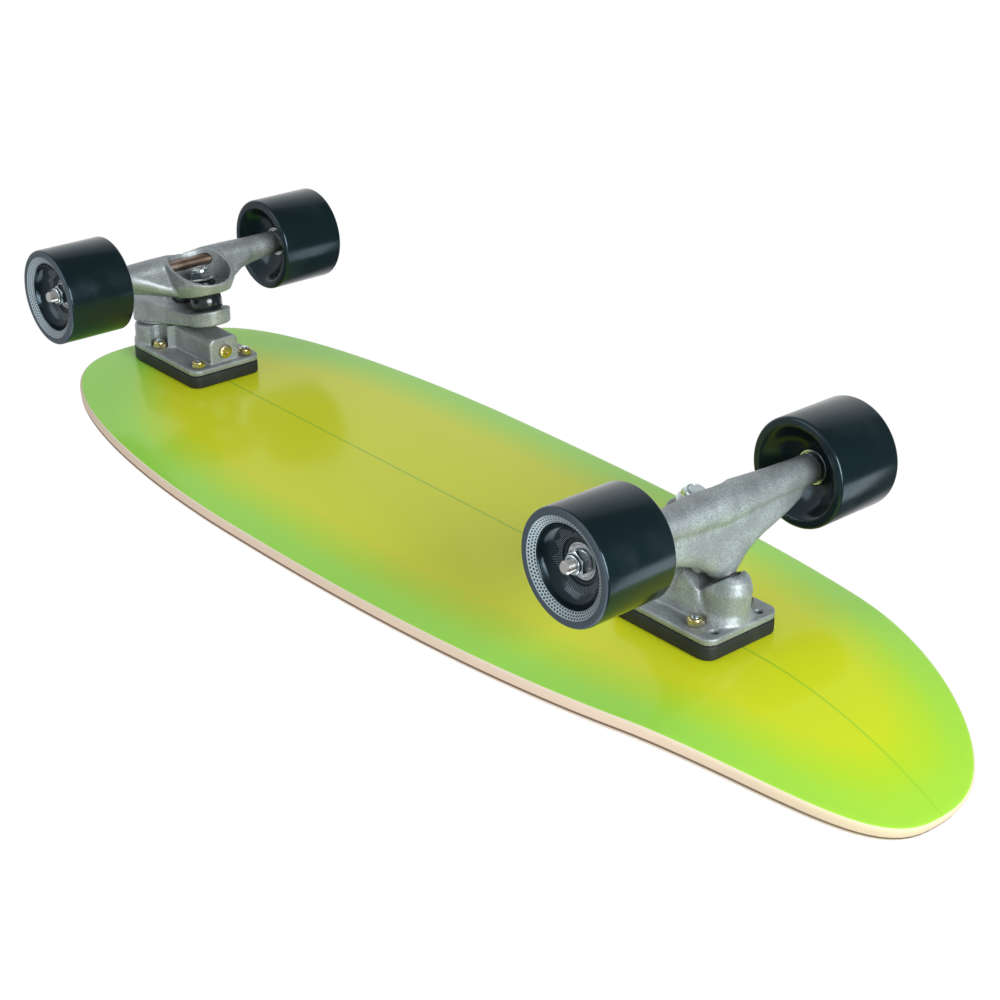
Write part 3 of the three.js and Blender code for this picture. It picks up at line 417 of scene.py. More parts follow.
def cast_metal(name, colour, patch_colour):
    """Grey metal with a fine grain, darker in its hollows, with sparkle and paler patches."""
    paint = Paint(name, metallic=CAST_METALLIC)
    place = paint.place()
    grain = paint.noise(place, 1100.0, detail=3.0, roughness=0.65)
    sparkle = paint.noise(place, 2600.0, detail=1.0)
    patches = paint.noise(place, 70.0, detail=4.0, roughness=0.65)
    tone = paint.mix(patches.ease(0.36, 0.66), colour, patch_colour)
    dark = tuple(c * HOLLOW_SHADE for c in colour)
    paint.feed(
        base_color=paint.mix(grain.ease(0.32, 0.6), dark, tone),
        roughness=CAST_ROUGHNESS + (grain - 0.5) * 0.3 - sparkle.ease(0.6, 0.7) * 0.12,
    )
    relief = paint.bump(grain, 0.00018, 0.5)
    paint.feed(normal=paint.bump(patches, 0.0008, 0.2, relief))
    return paint.material


cast_front = cast_metal("cast_front", (0.30, 0.335, 0.35), (0.42, 0.46, 0.475))
cast_rear = cast_metal("cast_rear", (0.295, 0.335, 0.345), (0.41, 0.465, 0.475))
print("castings have", len(cast_rear.node_tree.nodes), "nodes each")


# %% Tumble the castings
VOXEL = 0.7


def tumbled(node, rounds):
    """A copy of a CAD casting, remeshed and then smoothed in a number of rounds."""
    ob = frame["nodes"][node].copy()
    ob.data = ob.data.copy()
    bpy.context.scene.collection.objects.link(ob)
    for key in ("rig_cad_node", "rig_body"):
        del ob[key]
    ob.parent = None
    only(ob)
    named(node + "_casting")
    edit(ob, lambda: bpy.ops.mesh.remove_doubles(threshold=WELD_DISTANCE))
    modify(ob, "REMESH", mode="VOXEL", voxel_size=VOXEL * MM, use_smooth_shade=True)
    modify(ob, "SMOOTH", factor=0.5, iterations=rounds)
    return ob


for node, metal, slot, rounds in (
    ("front_base", cast_front, "cast_front", 10),
    ("swing_arm", cast_front, "cast_front", 10),
    ("front_hanger", cast_front, "cast_front", 20),
    ("rear_base", cast_rear, "cast_rear", 10),
    ("rear_hanger", cast_rear, "cast_rear", 20),
):
    piece = tumbled(node, rounds)
    dress(piece, metal, node, body_of(node))
    print(node, len(piece.data.polygons), "faces")

# %% [markdown]
# ## The deck's outline
# The deck is pressed from plies of maple. Seen from above it is an egg: two ovals that meet at
# the widest place, a blunt one to the nose and a longer one to the tail. Walking along such an
# oval by angle bunches the points up, so the outline is walked in fine steps and then divided
# evenly by length.

# %% Deck sizes and outline
DECK_THICKNESS = 11.0
HALF_WIDTH = 128.7
WIDEST_X = 97.0
REACH = {1: 295.6, -1: 490.9}
ALONG_POWER = {1: 1.84, -1: 2.48}
ACROSS_POWER = {1: 3.59, -1: 2.53}
KICK_START = -246.05
KICK_RADIUS = 297.0
CONCAVE_RISE = 6.3
FLAT_HALF_WIDTH = 30.0
OUTLINE_POINTS = 280
RAIL_POINTS = 3000
WALK_STEPS = 9000
SHORTEST = 1e-9


def outline_point(angle, inset):
    """A point of the egg: the powers make its four quarters fuller than an ellipse's."""
    end = 1 if math.sin(angle) > 0 else -1
    side = 1 if math.cos(angle) > 0 else -1
    along = (REACH[end] - inset) * abs(math.sin(angle)) ** (2 / ALONG_POWER[end])
    across = (HALF_WIDTH - inset) * abs(math.cos(angle)) ** (2 / ACROSS_POWER[end])
    return Vector((WIDEST_X + end * along, side * across))


def outline(inset=0.0, count=OUTLINE_POINTS):
    """The deck's outline, moved in by an inset, as points at even distances."""
    angles = [2 * math.pi * i / WALK_STEPS for i in range(WALK_STEPS + 1)]
    walk = [outline_point(angle, inset) for angle in angles]
    lengths = [0.0]
    for a, b in zip(walk, walk[1:]):
        lengths.append(lengths[-1] + (b - a).length)
    points, k = [], 0
    for i in range(count):
        goal = lengths[-1] * i / count
        while lengths[k + 1] < goal:
            k += 1
        share = (goal - lengths[k]) / max(lengths[k + 1] - lengths[k], SHORTEST)
        points.append(walk[k].lerp(walk[k + 1], share))
    return points


print("outline:", len(outline()), "points")

# %% [markdown]
# ## The deck's bend
# Across the board the deck is a shallow tray, flat in the middle and raised towards both rails.
# Along it, the tail bends up in an arc. It is easier to build it flat, as a bevelled slab cut
# into a grid, and to bend the grid at the end. The height in the flat slab and the distance from
# the rail are kept as attributes, for the plies and for the dyed fade.

# %% Bend a flat slab
def deck_point(x, y, depth):
    """Where the bend takes a point of the flat slab."""
    run = max(0.0, abs(y) - FLAT_HALF_WIDTH) / (HALF_WIDTH - FLAT_HALF_WIDTH)
    into_kick = max(0.0, KICK_START - x)
    drop = math.sqrt(KICK_RADIUS**2 - into_kick**2)
    height = CONCAVE_RISE * run**2 + KICK_RADIUS - drop
    slope = 2 * CONCAVE_RISE * run * math.copysign(1, y) / (HALF_WIDTH - FLAT_HALF_WIDTH)
    normal = Vector((into_kick / drop, -slope, 1)).normalized()
    return Vector((x, y, DECK_HEIGHT + height)) + normal * depth


def rail_finder():
    """A tree of close points on the outline. It finds how far any place is from the rail."""
    points = outline(count=RAIL_POINTS)
    tree = KDTree(len(points))
    for index, point in enumerate(points):
        tree.insert((*point, 0), index)
    tree.balance()
    return tree


rail_tree = rail_finder()
GRID = (((1, 0, 0), 390, 9.0), ((0, 1, 0), 128, 8.0))


def cut_grid(ob):
    """Cuts a slab by planes across each axis, as far as a reach and one step apart."""
    for axis, reach, step in GRID:
        for k in range(int(-reach / step), int(reach / step) + 1):
            where = Vector(axis) * (k * step * MM)
            edit(ob, lambda: bpy.ops.mesh.bisect(plane_co=where, plane_no=axis))
    return ob


def bend(ob):
    mesh = ob.data
    depth = mesh.attributes.new("ply_depth", "FLOAT", "POINT")
    rail = mesh.attributes.new("from_rail", "FLOAT", "POINT")
    for vertex, d, r in zip(mesh.vertices, depth.data, rail.data):
        x, y, z = vertex.co / MM
        d.value = z
        r.value = rail_tree.find((x, y, 0))[2]
        vertex.co = deck_point(x, y, z) * MM


# %% [markdown]
# ## Bolt holes
# Eight flat-headed bolts pass through the deck, four to a truck. Their holes are turned cutters,
# taken out of the slab by a boolean before the bend, where the deck is still flat.

# %% Deck and griptape
BOLT_ALONG, BOLT_ACROSS = 26.99, 20.64
BOLT_PLACES = {
    f"{end}_{row}_{side}": (middle + along, across)
    for end, middle in BOLT_MIDDLE.items()
    for row, along in (("nose", BOLT_ALONG), ("tail", -BOLT_ALONG))
    for side, across in (("left", BOLT_ACROSS), ("right", -BOLT_ACROSS))
}
HOLE_RADIUS, SINK_RADIUS, SINK_DEPTH = 2.7, 5, 3.3
DECK_RIM, GRIP_RIM = 2.6, 0.2
GRIP_INSET, GRIP_GAP, GRIP_THICKNESS = 3.8, 0.3, 1.0
CUTTER_TOP = DECK_THICKNESS + 3
DECK_HOLE = [
    (0, -2), (HOLE_RADIUS, -2), (HOLE_RADIUS, DECK_THICKNESS - SINK_DEPTH),
    (SINK_RADIUS, DECK_THICKNESS), (SINK_RADIUS, CUTTER_TOP), (0, CUTTER_TOP),
]
GRIP_HOLE = [(0, 10), (SINK_RADIUS, 10), (SINK_RADIUS, CUTTER_TOP), (0, CUTTER_TOP)]


def cutters(profile):
    return [put(turned("cutter", profile, 40), (x, y, 0)) for x, y in BOLT_PLACES.values()]


deck = cut_grid(slab("deck_board", outline(), 0, DECK_THICKNESS, DECK_RIM, 5))
combine(deck, "DIFFERENCE", *cutters(DECK_HOLE))
bend(deck)
GRIP_BOTTOM = DECK_THICKNESS + GRIP_GAP
GRIP_TOP = GRIP_BOTTOM + GRIP_THICKNESS
grip = slab("grip_sheet", outline(GRIP_INSET), GRIP_BOTTOM, GRIP_TOP, GRIP_RIM, 1)
cut_grid(grip)
combine(grip, "DIFFERENCE", *cutters(GRIP_HOLE))
bend(grip)
shade(deck)
shade(grip)
print("deck", len(deck.data.polygons), "faces; grip", len(grip.data.polygons), "faces")

# %% [markdown]
# ## The deck's finish
# The underside has an airbrushed fade from yellow in the middle to green at the rails and the
# nose, a thin green line down the middle, and a thin lacquer that faintly mirrors what stands on
# it. The edge shows the plies: pale maple, with one dark ply nearer the top. Both patterns read
# the attributes that the bend kept. Towards the tail the dye and the bare wood are painted
# darker, as painted shade.

# %% Dyed and lacquered ply
FADE_WIDTH = 60
LINE_HALF_WIDTH, LINE_SOFTNESS = 0.55, 0.4
DYED_DEPTH = 0.25
DYES = (
    (0.0, (0.335, 0.75, 0.088)),
    (0.23, (0.37, 0.77, 0.080)),
    (0.47, (0.49, 0.77, 0.042)),
    (0.85, (0.70, 0.77, 0.018)),
)
PLIES = (
    (0.0, (0.92, 0.84, 0.66)),
    (0.12, (0.90, 0.74, 0.58)),
    (0.59, (0.86, 0.68, 0.53)),
    (0.62, (0.16, 0.11, 0.085)),
    (0.74, (0.16, 0.11, 0.085)),
    (0.77, (0.84, 0.71, 0.60)),
    (1.0, (0.86, 0.75, 0.64)),
)
DYE_TAIL_PAINTED_SHADE, LINE_DYE = (0.29, 0.46, 0.016), (0.28, 0.55, 0.03)
FIBRE, PLY_TAIL_PAINTED_SHADE = (0.70, 0.52, 0.38), (0.68, 0.72, 0.62)


def deck_finish():
    """Dye on the underside, by the distance from the rail, and bare plies elsewhere."""
    paint = Paint("dyed_ply", coat_roughness=0.12, coat_ior=1.45, specular_ior_level=0.1)
    place = paint.place()
    x, y = paint.axes(place)[:2]
    depth = paint.node("ShaderNodeAttribute", {"attribute_name": "ply_depth"}, out=2)
    from_rail = paint.node("ShaderNodeAttribute", {"attribute_name": "from_rail"}, out=2)
    unevenness = (paint.noise(place, 14.0) - 0.5) * 0.12
    towards_nose = x.ease(0.22, 0.36)
    towards_tail = 1 - x.ease(-0.39, -0.22)
    dye = paint.ramp(from_rail / FADE_WIDTH + unevenness - towards_nose * 0.45, DYES)
    # Painted shade: towards the tail the dye is mixed with a darker green.
    dye = paint.mix(towards_tail * 0.5, dye, DYE_TAIL_PAINTED_SHADE)
    line = 1 - (y.size() - LINE_HALF_WIDTH * MM).ease(0.0, LINE_SOFTNESS * MM)
    dye = paint.mix(line * 0.7, dye, LINE_DYE)
    fibres = paint.noise(paint.place(scale=(1, 1, 30)), 160.0)
    plies = paint.mix(fibres * 0.2, paint.ramp(depth / DECK_THICKNESS, PLIES), FIBRE)
    # Painted shade: the bare plies are darker towards the tail.
    ply_painted_shade = paint.mix(towards_tail, (1, 1, 1), PLY_TAIL_PAINTED_SHADE)
    plies = paint.vector("MULTIPLY", plies, ply_painted_shade)
    face = depth.under(DYED_DEPTH)
    paint.feed(
        base_color=paint.mix(face, plies, dye),
        roughness=0.55 - face * 0.25,
        coat_weight=face * 0.3,
        normal=paint.bump(paint.noise(place, 18.0, detail=1.0), 0.0004, 0.08),
    )
    return paint.material


dress(deck, deck_finish(), "deck", "board")

# %% [markdown]
# ## Griptape
# The top is covered with a sheet of coarse black grit. Grit is thousands of sharp grains: a fine
# noise makes the bumps; the tallest grains are painted pale, as painted glints, and less rough.

# %% Grit
def grit_finish():
    paint = Paint("grit", specular_ior_level=0.35)
    place = paint.place()
    grains = paint.noise(place, 1500.0, roughness=0.8)
    worn = paint.noise(place, 12.0, detail=3.0).ease(0.42, 0.7)
    # Painted highlight: the tallest grains are painted pale, as glints; they are also less rough.
    painted_glint = grains.ease(0.62, 0.72)
    black = paint.mix(worn, (0.014, 0.014, 0.015), (0.03, 0.03, 0.031))
    paint.feed(
        base_color=paint.mix(painted_glint, black, (0.16, 0.16, 0.165)),
        roughness=0.95 - painted_glint * 0.5,
        normal=paint.bump(grains, 0.0004, 0.9),
    )
    return paint.material


dress(grip, grit_finish(), "griptape", "board")

# %% [markdown]
# ## Risers
# A black moulded pad sits between each truck and the deck. The rear one is a rounded box, and the
# front one ends in a half circle. Both are extruded outlines with softly bevelled rims and a
# faint moulded grain.

# %% Riser pads
PAD_HALF_WIDTH, PAD_CORNER = 30, 8
PAD_BOTTOM, PAD_TOP, PAD_RIM = 0.3, 9.7, 1.2


def corner(x, y, radius, start, end, steps=10):
    """Points of an arc round a centre, between two angles in degrees."""
    turns = [math.radians(start + (end - start) * i / steps) for i in range(steps + 1)]
    return [(x + radius * math.cos(a), y + radius * math.sin(a)) for a in turns]


def rounded_box(low, high, half, radius):
    return [
        *corner(high - radius, half - radius, radius, 0, 90),
        *corner(low + radius, half - radius, radius, 90, 180),
        *corner(low + radius, radius - half, radius, 180, 270),
        *corner(high - radius, radius - half, radius, 270, 360),
    ]


def riser_finish():
    paint = Paint("black_riser", specular_ior_level=0.5)
    place = paint.place()
    grain = paint.noise(place, 700.0)
    scuffs = paint.noise(place, 60.0, detail=3.0).ease(0.5, 0.75)
    paint.feed(
        base_color=paint.mix(scuffs, (0.007, 0.010, 0.011), (0.015, 0.020, 0.021)),
        roughness=0.5 + grain * 0.25,
        normal=paint.bump(grain, 0.0002, 0.3),
    )
    return paint.material


black_riser = riser_finish()
OVER = {"front": {"about_x": math.pi}, "rear": {"about_y": math.pi}}
pad_shapes = {
    "front": [
        *corner(40.4, 0, PAD_HALF_WIDTH, -90, 90, 40),
        *corner(-27.2, PAD_HALF_WIDTH - PAD_CORNER, PAD_CORNER, 90, 180),
        *corner(-27.2, PAD_CORNER - PAD_HALF_WIDTH, PAD_CORNER, 180, 270),
    ],
    "rear": rounded_box(-34, 47, PAD_HALF_WIDTH, PAD_CORNER),
}
for end, shape in pad_shapes.items():
    pad = slab(f"{end}_riser_block", shape, PAD_BOTTOM, PAD_TOP, PAD_RIM, 3)
    put(pad, on_truck(end, 0, 0)[0], **OVER[end])
    modify(pad, "BEVEL", width=0.2 * MM, segments=2, limit_method="ANGLE")
    dress(shade(pad), black_riser, f"{end}_riser_pad", "board")

# %% [markdown]
# ## Wheels
# A wheel is cast urethane with its core in one: a smooth tread with rounded edges, a flat lip, a
# sloping ring, and a deep bowl that ends at the bearing. All of that is one profile, spun. The
# tread is glossy and near black. The sloping ring carries a pale printed band with rows of small
# dark dots, and the bowl carries fine radial ticks of uneven length, both drawn by angle and
# radius round the axle.

# %% Wheel shape
WHEEL_OFFSET = 92.3
WHEEL_PROFILE = [
    (11.3, 12.3), (11.3, 4.7), (9.5, 4.7), (9.5, -4.7), (11.3, -4.7), (11.3, -12.3),
    (13.4, -13.0), (14.6, -13.4), (17.5, -14.6), (20.5, -16.3), (23.2, -18.6), (25.6, -21.6),
    (27.6, -24.4),
    *corner(29.6, -24.3, 1.4, 225, 270, 3),
    *corner(32.5, -23.7, 2.0, 270, 360, 5),
    *corner(32.5, 23.7, 2.0, 0, 90, 5),
    *corner(30.0, 25.3, 0.4, 90, 150, 3),
    (25.2, 22.9), (24.7, 22.4), (24.4, 21.6), (23.9, 19.6), (22.6, 17.4), (20.4, 15.6),
    (17.6, 14.4), (14.8, 13.5), (13.6, 13.2), (13.2, 12.5),
]
wheel_model = turned("wheel_model", WHEEL_PROFILE, 128)
print("wheel", len(wheel_model.data.polygons), "faces")


# %% Urethane
BAND_INNER, BAND_OUTER, ROW_PITCH, DOTS_ROUND = 24.9, 29.5, 1.45, 78
TICKS_ROUND, TICK_FROM, TICK_SHORTEST, TICK_SPREAD = 84, 13.9, 15.2, 6.0
LIP_OUTWARD = 117.2


def urethane(end):
    """Glossy black, with the prints on the outer faces of the two wheels on one axle."""
    # The blue specular tint is painted light: it tints every reflection on the urethane blue.
    paint = Paint(f"urethane_{end}", specular_ior_level=0.5, specular_tint=(0.62, 0.85, 1.0))
    hub = (AXLE_X[end] * MM, 0, AXLE_Z * MM)
    place = paint.place(offset=hub)
    flat_place = paint.place(offset=hub, scale=(1, 0, 1))
    x, y, z = paint.axes(place)
    radius = paint.vector("LENGTH", flat_place, out="Value") / MM
    turn = paint.node("ShaderNodeMath", {"operation": "ARCTAN2"}, z, x) / (2 * math.pi) + 0.5
    outward = y.size() / MM
    outer = outward.over(WHEEL_OFFSET)
    row = (radius - BAND_INNER) / ROW_PITCH
    row_count = row - row.fraction()
    across = (turn * DOTS_ROUND + row_count * 0.5).fraction() - 0.5
    along = row.fraction() - 0.5
    dot = (across * across + along * along * 0.8).under(0.12)
    band = radius.over(BAND_INNER) * radius.under(BAND_OUTER) * outer
    spoke = (turn * TICKS_ROUND).fraction() - 0.5
    slow = paint.noise(flat_place, 130.0, detail=1.0)
    reach = TICK_SHORTEST + slow.ease(0.3, 0.7) * TICK_SPREAD
    tick = spoke.size().under(0.1) * radius.over(TICK_FROM) * radius.under(reach) * outer
    dust = paint.noise(place, 35.0, detail=4.0).ease(0.5, 0.8)
    lip = outer * radius.over(BAND_OUTER) * outward.over(LIP_OUTWARD)
    base = paint.mix(dust, (0.004, 0.0105, 0.013), (0.008, 0.016, 0.019))
    base = paint.mix(lip, base, (0.052, 0.068, 0.084))
    base = paint.mix(tick * 0.75, base, (0.30, 0.36, 0.38))
    base = paint.mix(band, base, paint.mix(dot, (0.41, 0.49, 0.53), (0.03, 0.044, 0.054)))
    paint.feed(
        base_color=base,
        roughness=0.19 + dust * 0.1 + lip * 0.3 + band * 0.2,
        normal=paint.bump(paint.noise(place, 500.0), 0.00015, 0.06),
    )
    return paint.material


# %% [markdown]
# ## Bearings
# Each wheel turns on two bearings, 22 mm across: a bright outer ring, a shield pressed a little
# below it, and the inner ring, which stands proud to meet the nut. They are turned, with narrow
# grooves at the shield's edges.

# %% Bearing shape and polished steel
BEARING_PROFILE = [
    (4.3, -4.85), (6.0, -4.85), (6.0, 0.0), (10.7, 0.0), (11.0, 0.3), (11.0, 6.7), (10.7, 7.0),
    (9.8, 7.0), (9.6, 6.8), (9.5, 6.2), (9.2, 6.2), (9.0, 6.5), (7.2, 6.6), (6.4, 6.3), (6.2, 6.2),
    (6.1, 6.9), (6.0, 7.5), (5.7, 7.8), (4.6, 7.8), (4.3, 7.5),
]
bearing_model = turned("bearing_model", BEARING_PROFILE, 72)


def steel(name, colour, roughness, stain=None):
    """Bare or plated metal with a fine grain and stained patches."""
    paint = Paint(name, metallic=1.0)
    place = paint.place()
    grain = paint.noise(place, 1200.0)
    patches = paint.noise(place, 110.0, detail=3.0).ease(0.4, 0.7)
    paint.feed(
        base_color=paint.mix(patches, colour, stain or tuple(c * 0.8 for c in colour)),
        roughness=roughness + (grain - 0.5) * 0.1 + patches * 0.06,
        normal=paint.bump(grain, 0.0001, 0.25),
    )
    return paint.material


polished_steel = steel("polished_steel", (0.62, 0.66, 0.68), 0.2)
bolt_steel = steel("plated_steel", (0.64, 0.74, 0.76), 0.2, (0.5, 0.6, 0.62))
yellow_zinc = steel("yellow_zinc", (0.66, 0.56, 0.26), 0.26, (0.6, 0.52, 0.42))
cup_steel = steel("cup_steel", (0.62, 0.68, 0.70), 0.24)
print("the last of four steels:", cup_steel.name)

# %% [markdown]
# ## Nuts
# A lock nut is a hexagon whose corners are turned off at both ends, with a round collar on top
# that grips the thread. The hexagon is a six-sided cylinder. Where it meets a turned shape in a
# boolean, it gets the curved corner that a real nut has, and the collar and the bore follow by
# two more booleans. A boolean is only safe where no two faces or edges lie on each other, so the
# cutters reach past the ends and are turned by half a facet.

# %% Lock nut and hex head
HEX_SHARE, COLLAR_SHARE = 0.68, 0.93
COLLAR_SUNK, COLLAR_RIM, MOUTH = 0.8, 1.1, 0.8
KINGPIN_NUT_HEIGHT = 6.6


def cutter(profile, steps):
    """A turned shape, whose edges miss those of what it cuts by half a facet."""
    return put(turned("cutter", profile, steps), (0, 0, 0), about_z=math.pi / steps)


def hexagon(name, across, height):
    """A six-sided prism, measured across its flats, with turned-off corners."""
    radius = across / math.sqrt(3)
    bpy.ops.mesh.primitive_cylinder_add(
        vertices=6, radius=radius * MM, depth=height * MM, location=(0, 0, height * MM / 2))
    hexed = settle(named(name))
    flat, point, bite = across / 2 * 0.96, radius + 0.05, height * 0.14
    past = 2 * flat - point
    return combine(hexed, "INTERSECT", cutter([
        (0, -bite), (past, -bite), (point, bite),
        (point, height - bite), (past, height + bite), (0, height + bite),
    ], 48))


def lock_nut(name, across, height, bore):
    """A hexagon and a round collar on top, with a bore that widens at both ends."""
    hex_height = height * HEX_SHARE
    nut = hexagon(name, across, hex_height)
    radius = across / 2 * COLLAR_SHARE
    collar = turned("collar", [
        (0, hex_height - COLLAR_SUNK), (radius, hex_height - COLLAR_SUNK),
        *corner(radius - COLLAR_RIM, height - COLLAR_RIM, COLLAR_RIM, 0, 90, 5), (0, height),
    ], 40)
    hole = cutter([
        (0, -1), (bore + MOUTH + 1, -1), (bore, MOUTH), (bore, height - 0.4),
        (bore + 0.5, height + 0.1), (bore + 0.5, height + 1), (0, height + 1),
    ], 40)
    combine(nut, "UNION", collar)
    return combine(nut, "DIFFERENCE", hole)


axle_nut_model = lock_nut("axle_nut_model", 13.0, 6.5, 4.1)
kingpin_nut_model = lock_nut("kingpin_nut_model", 14.3, KINGPIN_NUT_HEIGHT, 4.9)
deck_nut_model = lock_nut("deck_nut_model", 9.5, 4.6, 2.5)
print("axle nut", len(axle_nut_model.data.polygons), "faces")

# %% [markdown]
# ## Axles
# The axle is a ground rod, brownish from oil, with a plated thread at each end. The thread is
# turned as a row of fine grooves one pitch apart.

# %% Axle shape and steel
AXLE_RADIUS, TIP_RADIUS = 4.0, 3.1
THREAD_START, THREAD_END, AXLE_END = 105.5, 116.5, 117.5


def thread(radius, start, end, pitch, depth):
    """Profile points of grooves between two heights, one pitch apart."""
    points = []
    pitch = math.copysign(pitch, end - start)
    for k in range(int((end - start) / pitch)):
        at = start + k * pitch
        points += [(radius, at), (radius - depth, at + pitch / 2)]
    return points + [(radius, end)]


half_axle = thread(AXLE_RADIUS, THREAD_START, THREAD_END, 1.0, 0.35)
half_axle += [(TIP_RADIUS, AXLE_END), (0, AXLE_END)]
AXLE_PROFILE = [(r, -h) for r, h in reversed(half_axle)] + half_axle


def axle_steel():
    """Oiled brown steel, and grey plating from just before the threads outwards."""
    paint = Paint("axle_steel", metallic=1.0)
    place = paint.place()
    y = paint.axes(place)[1]
    plated = (y.size() / MM).ease(THREAD_START - 2.5, THREAD_START - 0.5)
    stain = paint.noise(place, 90.0, detail=4.0).ease(0.35, 0.7)
    brown = paint.mix(stain, (0.29, 0.20, 0.15), (0.40, 0.31, 0.25))
    paint.feed(
        base_color=paint.mix(plated, brown, (0.60, 0.60, 0.59)),
        roughness=0.36 - plated * 0.1 + stain * 0.1,
        normal=paint.bump(paint.noise(place, 900.0), 0.0001, 0.2),
    )
    return paint.material


oiled_steel = axle_steel()

# %% Wheels, bearings, axles and nuts in place
OUTWARD = {"left": (1, -math.pi / 2), "right": (-1, math.pi / 2)}
BEARINGS = {"outer": (5.0, 0.0), "inner": (-5.0, math.pi)}
NUT_SHIFT = 13.1
for end, x in AXLE_X.items():
    tyre = urethane(end)
    rod = put(turned(f"{end}_axle_rod", AXLE_PROFILE, 40), (x, 0, AXLE_Z), about_x=math.pi / 2)
    dress(shade(rod, 25), oiled_steel, f"{end}_axle", f"{end}_hanger")
    for side, (sign, turn) in OUTWARD.items():
        label = f"{end}_{side}"
        body = f"{label}_wheel"
        tread = twin(wheel_model, f"{label}_tyre")
        put(tread, (x, sign * WHEEL_OFFSET, AXLE_Z), about_x=turn)
        dress(shade(tread, 40), tyre, f"{label}_wheel", body)
        for place, (shift, flip) in BEARINGS.items():
            ring = twin(bearing_model, f"{label}_{place}_race")
            put(ring, (x, sign * (WHEEL_OFFSET + shift), AXLE_Z), about_x=turn + flip)
            dress(shade(ring), polished_steel, f"{label}_{place}_bearing", body)
        nut = twin(axle_nut_model, f"{label}_lock_nut")
        put(nut, (x, sign * (WHEEL_OFFSET + NUT_SHIFT), AXLE_Z), about_x=turn)
        dress(shade(nut), bolt_steel, f"{label}_axle_nut", f"{end}_hanger")
for model in (wheel_model, bearing_model, axle_nut_model):
    bpy.data.objects.remove(model)

# %% [markdown]
# ## Kingpin stacks
# A bolt, the kingpin, holds each hanger between two soft bushings. From the seat outwards come
# the lower bushing, the hanger's ring, the upper bushing, a cupped washer and the nut. The
# bushings are cast urethane, black and wet-looking. On the truck they are squeezed on one side
# as the hanger tilts; here each one is a fixed shape.

# %% Bushing finish and stack sizes
def bushing_finish():
    paint = Paint("bushing_urethane", specular_ior_level=0.6, coat_weight=0.3, coat_roughness=0.08)
    place = paint.place()
    swirl = paint.noise(place, 140.0, detail=3.0).ease(0.4, 0.7)
    paint.feed(
        base_color=paint.mix(swirl, (0.006, 0.012, 0.014), (0.018, 0.028, 0.03)),
        roughness=0.16 + swirl * 0.1,
        normal=paint.bump(paint.noise(place, 300.0), 0.0002, 0.15),
    )
    return paint.material


soft_black = bushing_finish()
REAR_LEAN = math.radians(16)
STACKS = {
    "front": dict(
        x=-11.4, z=50.7, lean=math.radians(14), lower=12.0, ring=5.0, upper=4.5,
        upper_radius=10.0, head=9.6, holder="swing_arm",
    ),
    "rear": dict(
        x=-7.4, z=46.0, lean=REAR_LEAN, lower=15.0, ring=9.0, upper=6.5,
        upper_radius=10.5, head=(46 - 10) / math.cos(REAR_LEAN) - 3, holder="board",
    ),
}
GAP, WASHER_HEIGHT, PIN_PAST_NUT = 0.6, 1.9, 0.8
LOWER_RADIUS, BUSHING_RIM = 12, 1.4
STACK_BORE, PIN_RADIUS = 5.1, 4.76


def bushing(name, radius, bottom, top):
    """A barrel with rounded rims."""
    end, shoulder = radius * 0.96 - BUSHING_RIM, radius * 0.97
    return turned(name, [
        (STACK_BORE, bottom), (end, bottom), (shoulder, bottom + BUSHING_RIM),
        (radius, (bottom + top) / 2), (shoulder, top - BUSHING_RIM), (end, top), (STACK_BORE, top),
    ], 64)


# %% Build both stacks
for end, s in STACKS.items():
    ring_bottom = s["lower"] + GAP
    ring_top = ring_bottom + s["ring"]
    washer = ring_top + s["upper"] + GAP
    nut_foot = washer + WASHER_HEIGHT
    top = nut_foot + KINGPIN_NUT_HEIGHT + PIN_PAST_NUT
    head = -s["head"]

    def stand(ob, distance=0.0):
        """Puts a piece on the stack's line, at a distance from its seat."""
        at, turn = on_truck(end, s["x"], s["z"], s["lean"], distance)
        return put(ob, at, about_y=turn)

    def metres(distance):
        return [c * MM for c in on_truck(end, s["x"], s["z"], s["lean"], distance)[0]]

    pin = stand(turned(f"{end}_kingpin_bolt", [
        (0, head), (7.4, head), (8, head + 0.6), (8, head + 5), (PIN_RADIUS, head + 5),
        *thread(PIN_RADIUS, nut_foot - 1, top - 0.6, 1.1, 0.4), (4.1, top), (0, top),
    ], 48))
    dress(shade(pin, 25), bolt_steel, f"{end}_kingpin", s["holder"])
    lower = stand(bushing(f"{end}_lower_cushion", LOWER_RADIUS, 0.3, ring_bottom - 0.3))
    dress(shade(lower, 60), soft_black, f"{end}_lower_bushing")
    metres(0.3)
    metres(ring_bottom - 0.3)
    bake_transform(lower)
    upper = bushing(f"{end}_upper_cushion", s["upper_radius"], ring_top + 0.3, washer - 0.3)
    stand(upper)
    dress(shade(upper, 60), soft_black, f"{end}_upper_bushing")
    metres(ring_top + 0.3)
    metres(washer - 0.3)
    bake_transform(upper)
    cup = stand(turned(f"{end}_washer_cup", [
        (STACK_BORE, washer + 0.3), (8.6, washer), (9.7, washer), (10, washer + 0.4),
        (9.8, washer + 1.1), (8.8, washer + 1.6), (STACK_BORE, washer + 1.6),
    ], 64))
    dress(shade(cup, 50), cup_steel, f"{end}_cup_washer", s["holder"])
    nut = stand(twin(kingpin_nut_model, f"{end}_kingpin_lock_nut"), nut_foot)
    dress(shade(nut), bolt_steel, f"{end}_kingpin_nut", s["holder"])
    print(end, "stack is", round(top, 1), "mm from its seat to the pin's end")
bpy.data.objects.remove(kingpin_nut_model)

# %% [markdown]
# ## Pivot cups
# The ball at the hanger's other end turns in a soft black cup, pressed into the base. Only its
# rim shows.

# %% Pivot cups
CUP_RADIUS = 7.1
CUP_LEAN = math.radians(-37)
CUP_PROFILE = [
    (0, -8.6), (8.0, -8.6), (8.6, -8.0), (8.6, 0.8), (8.3, 1.2), (7.5, 1.2), (CUP_RADIUS, 0.8),
    *corner(0, 0, CUP_RADIUS, 0, -80, 8), (0, -CUP_RADIUS),
]


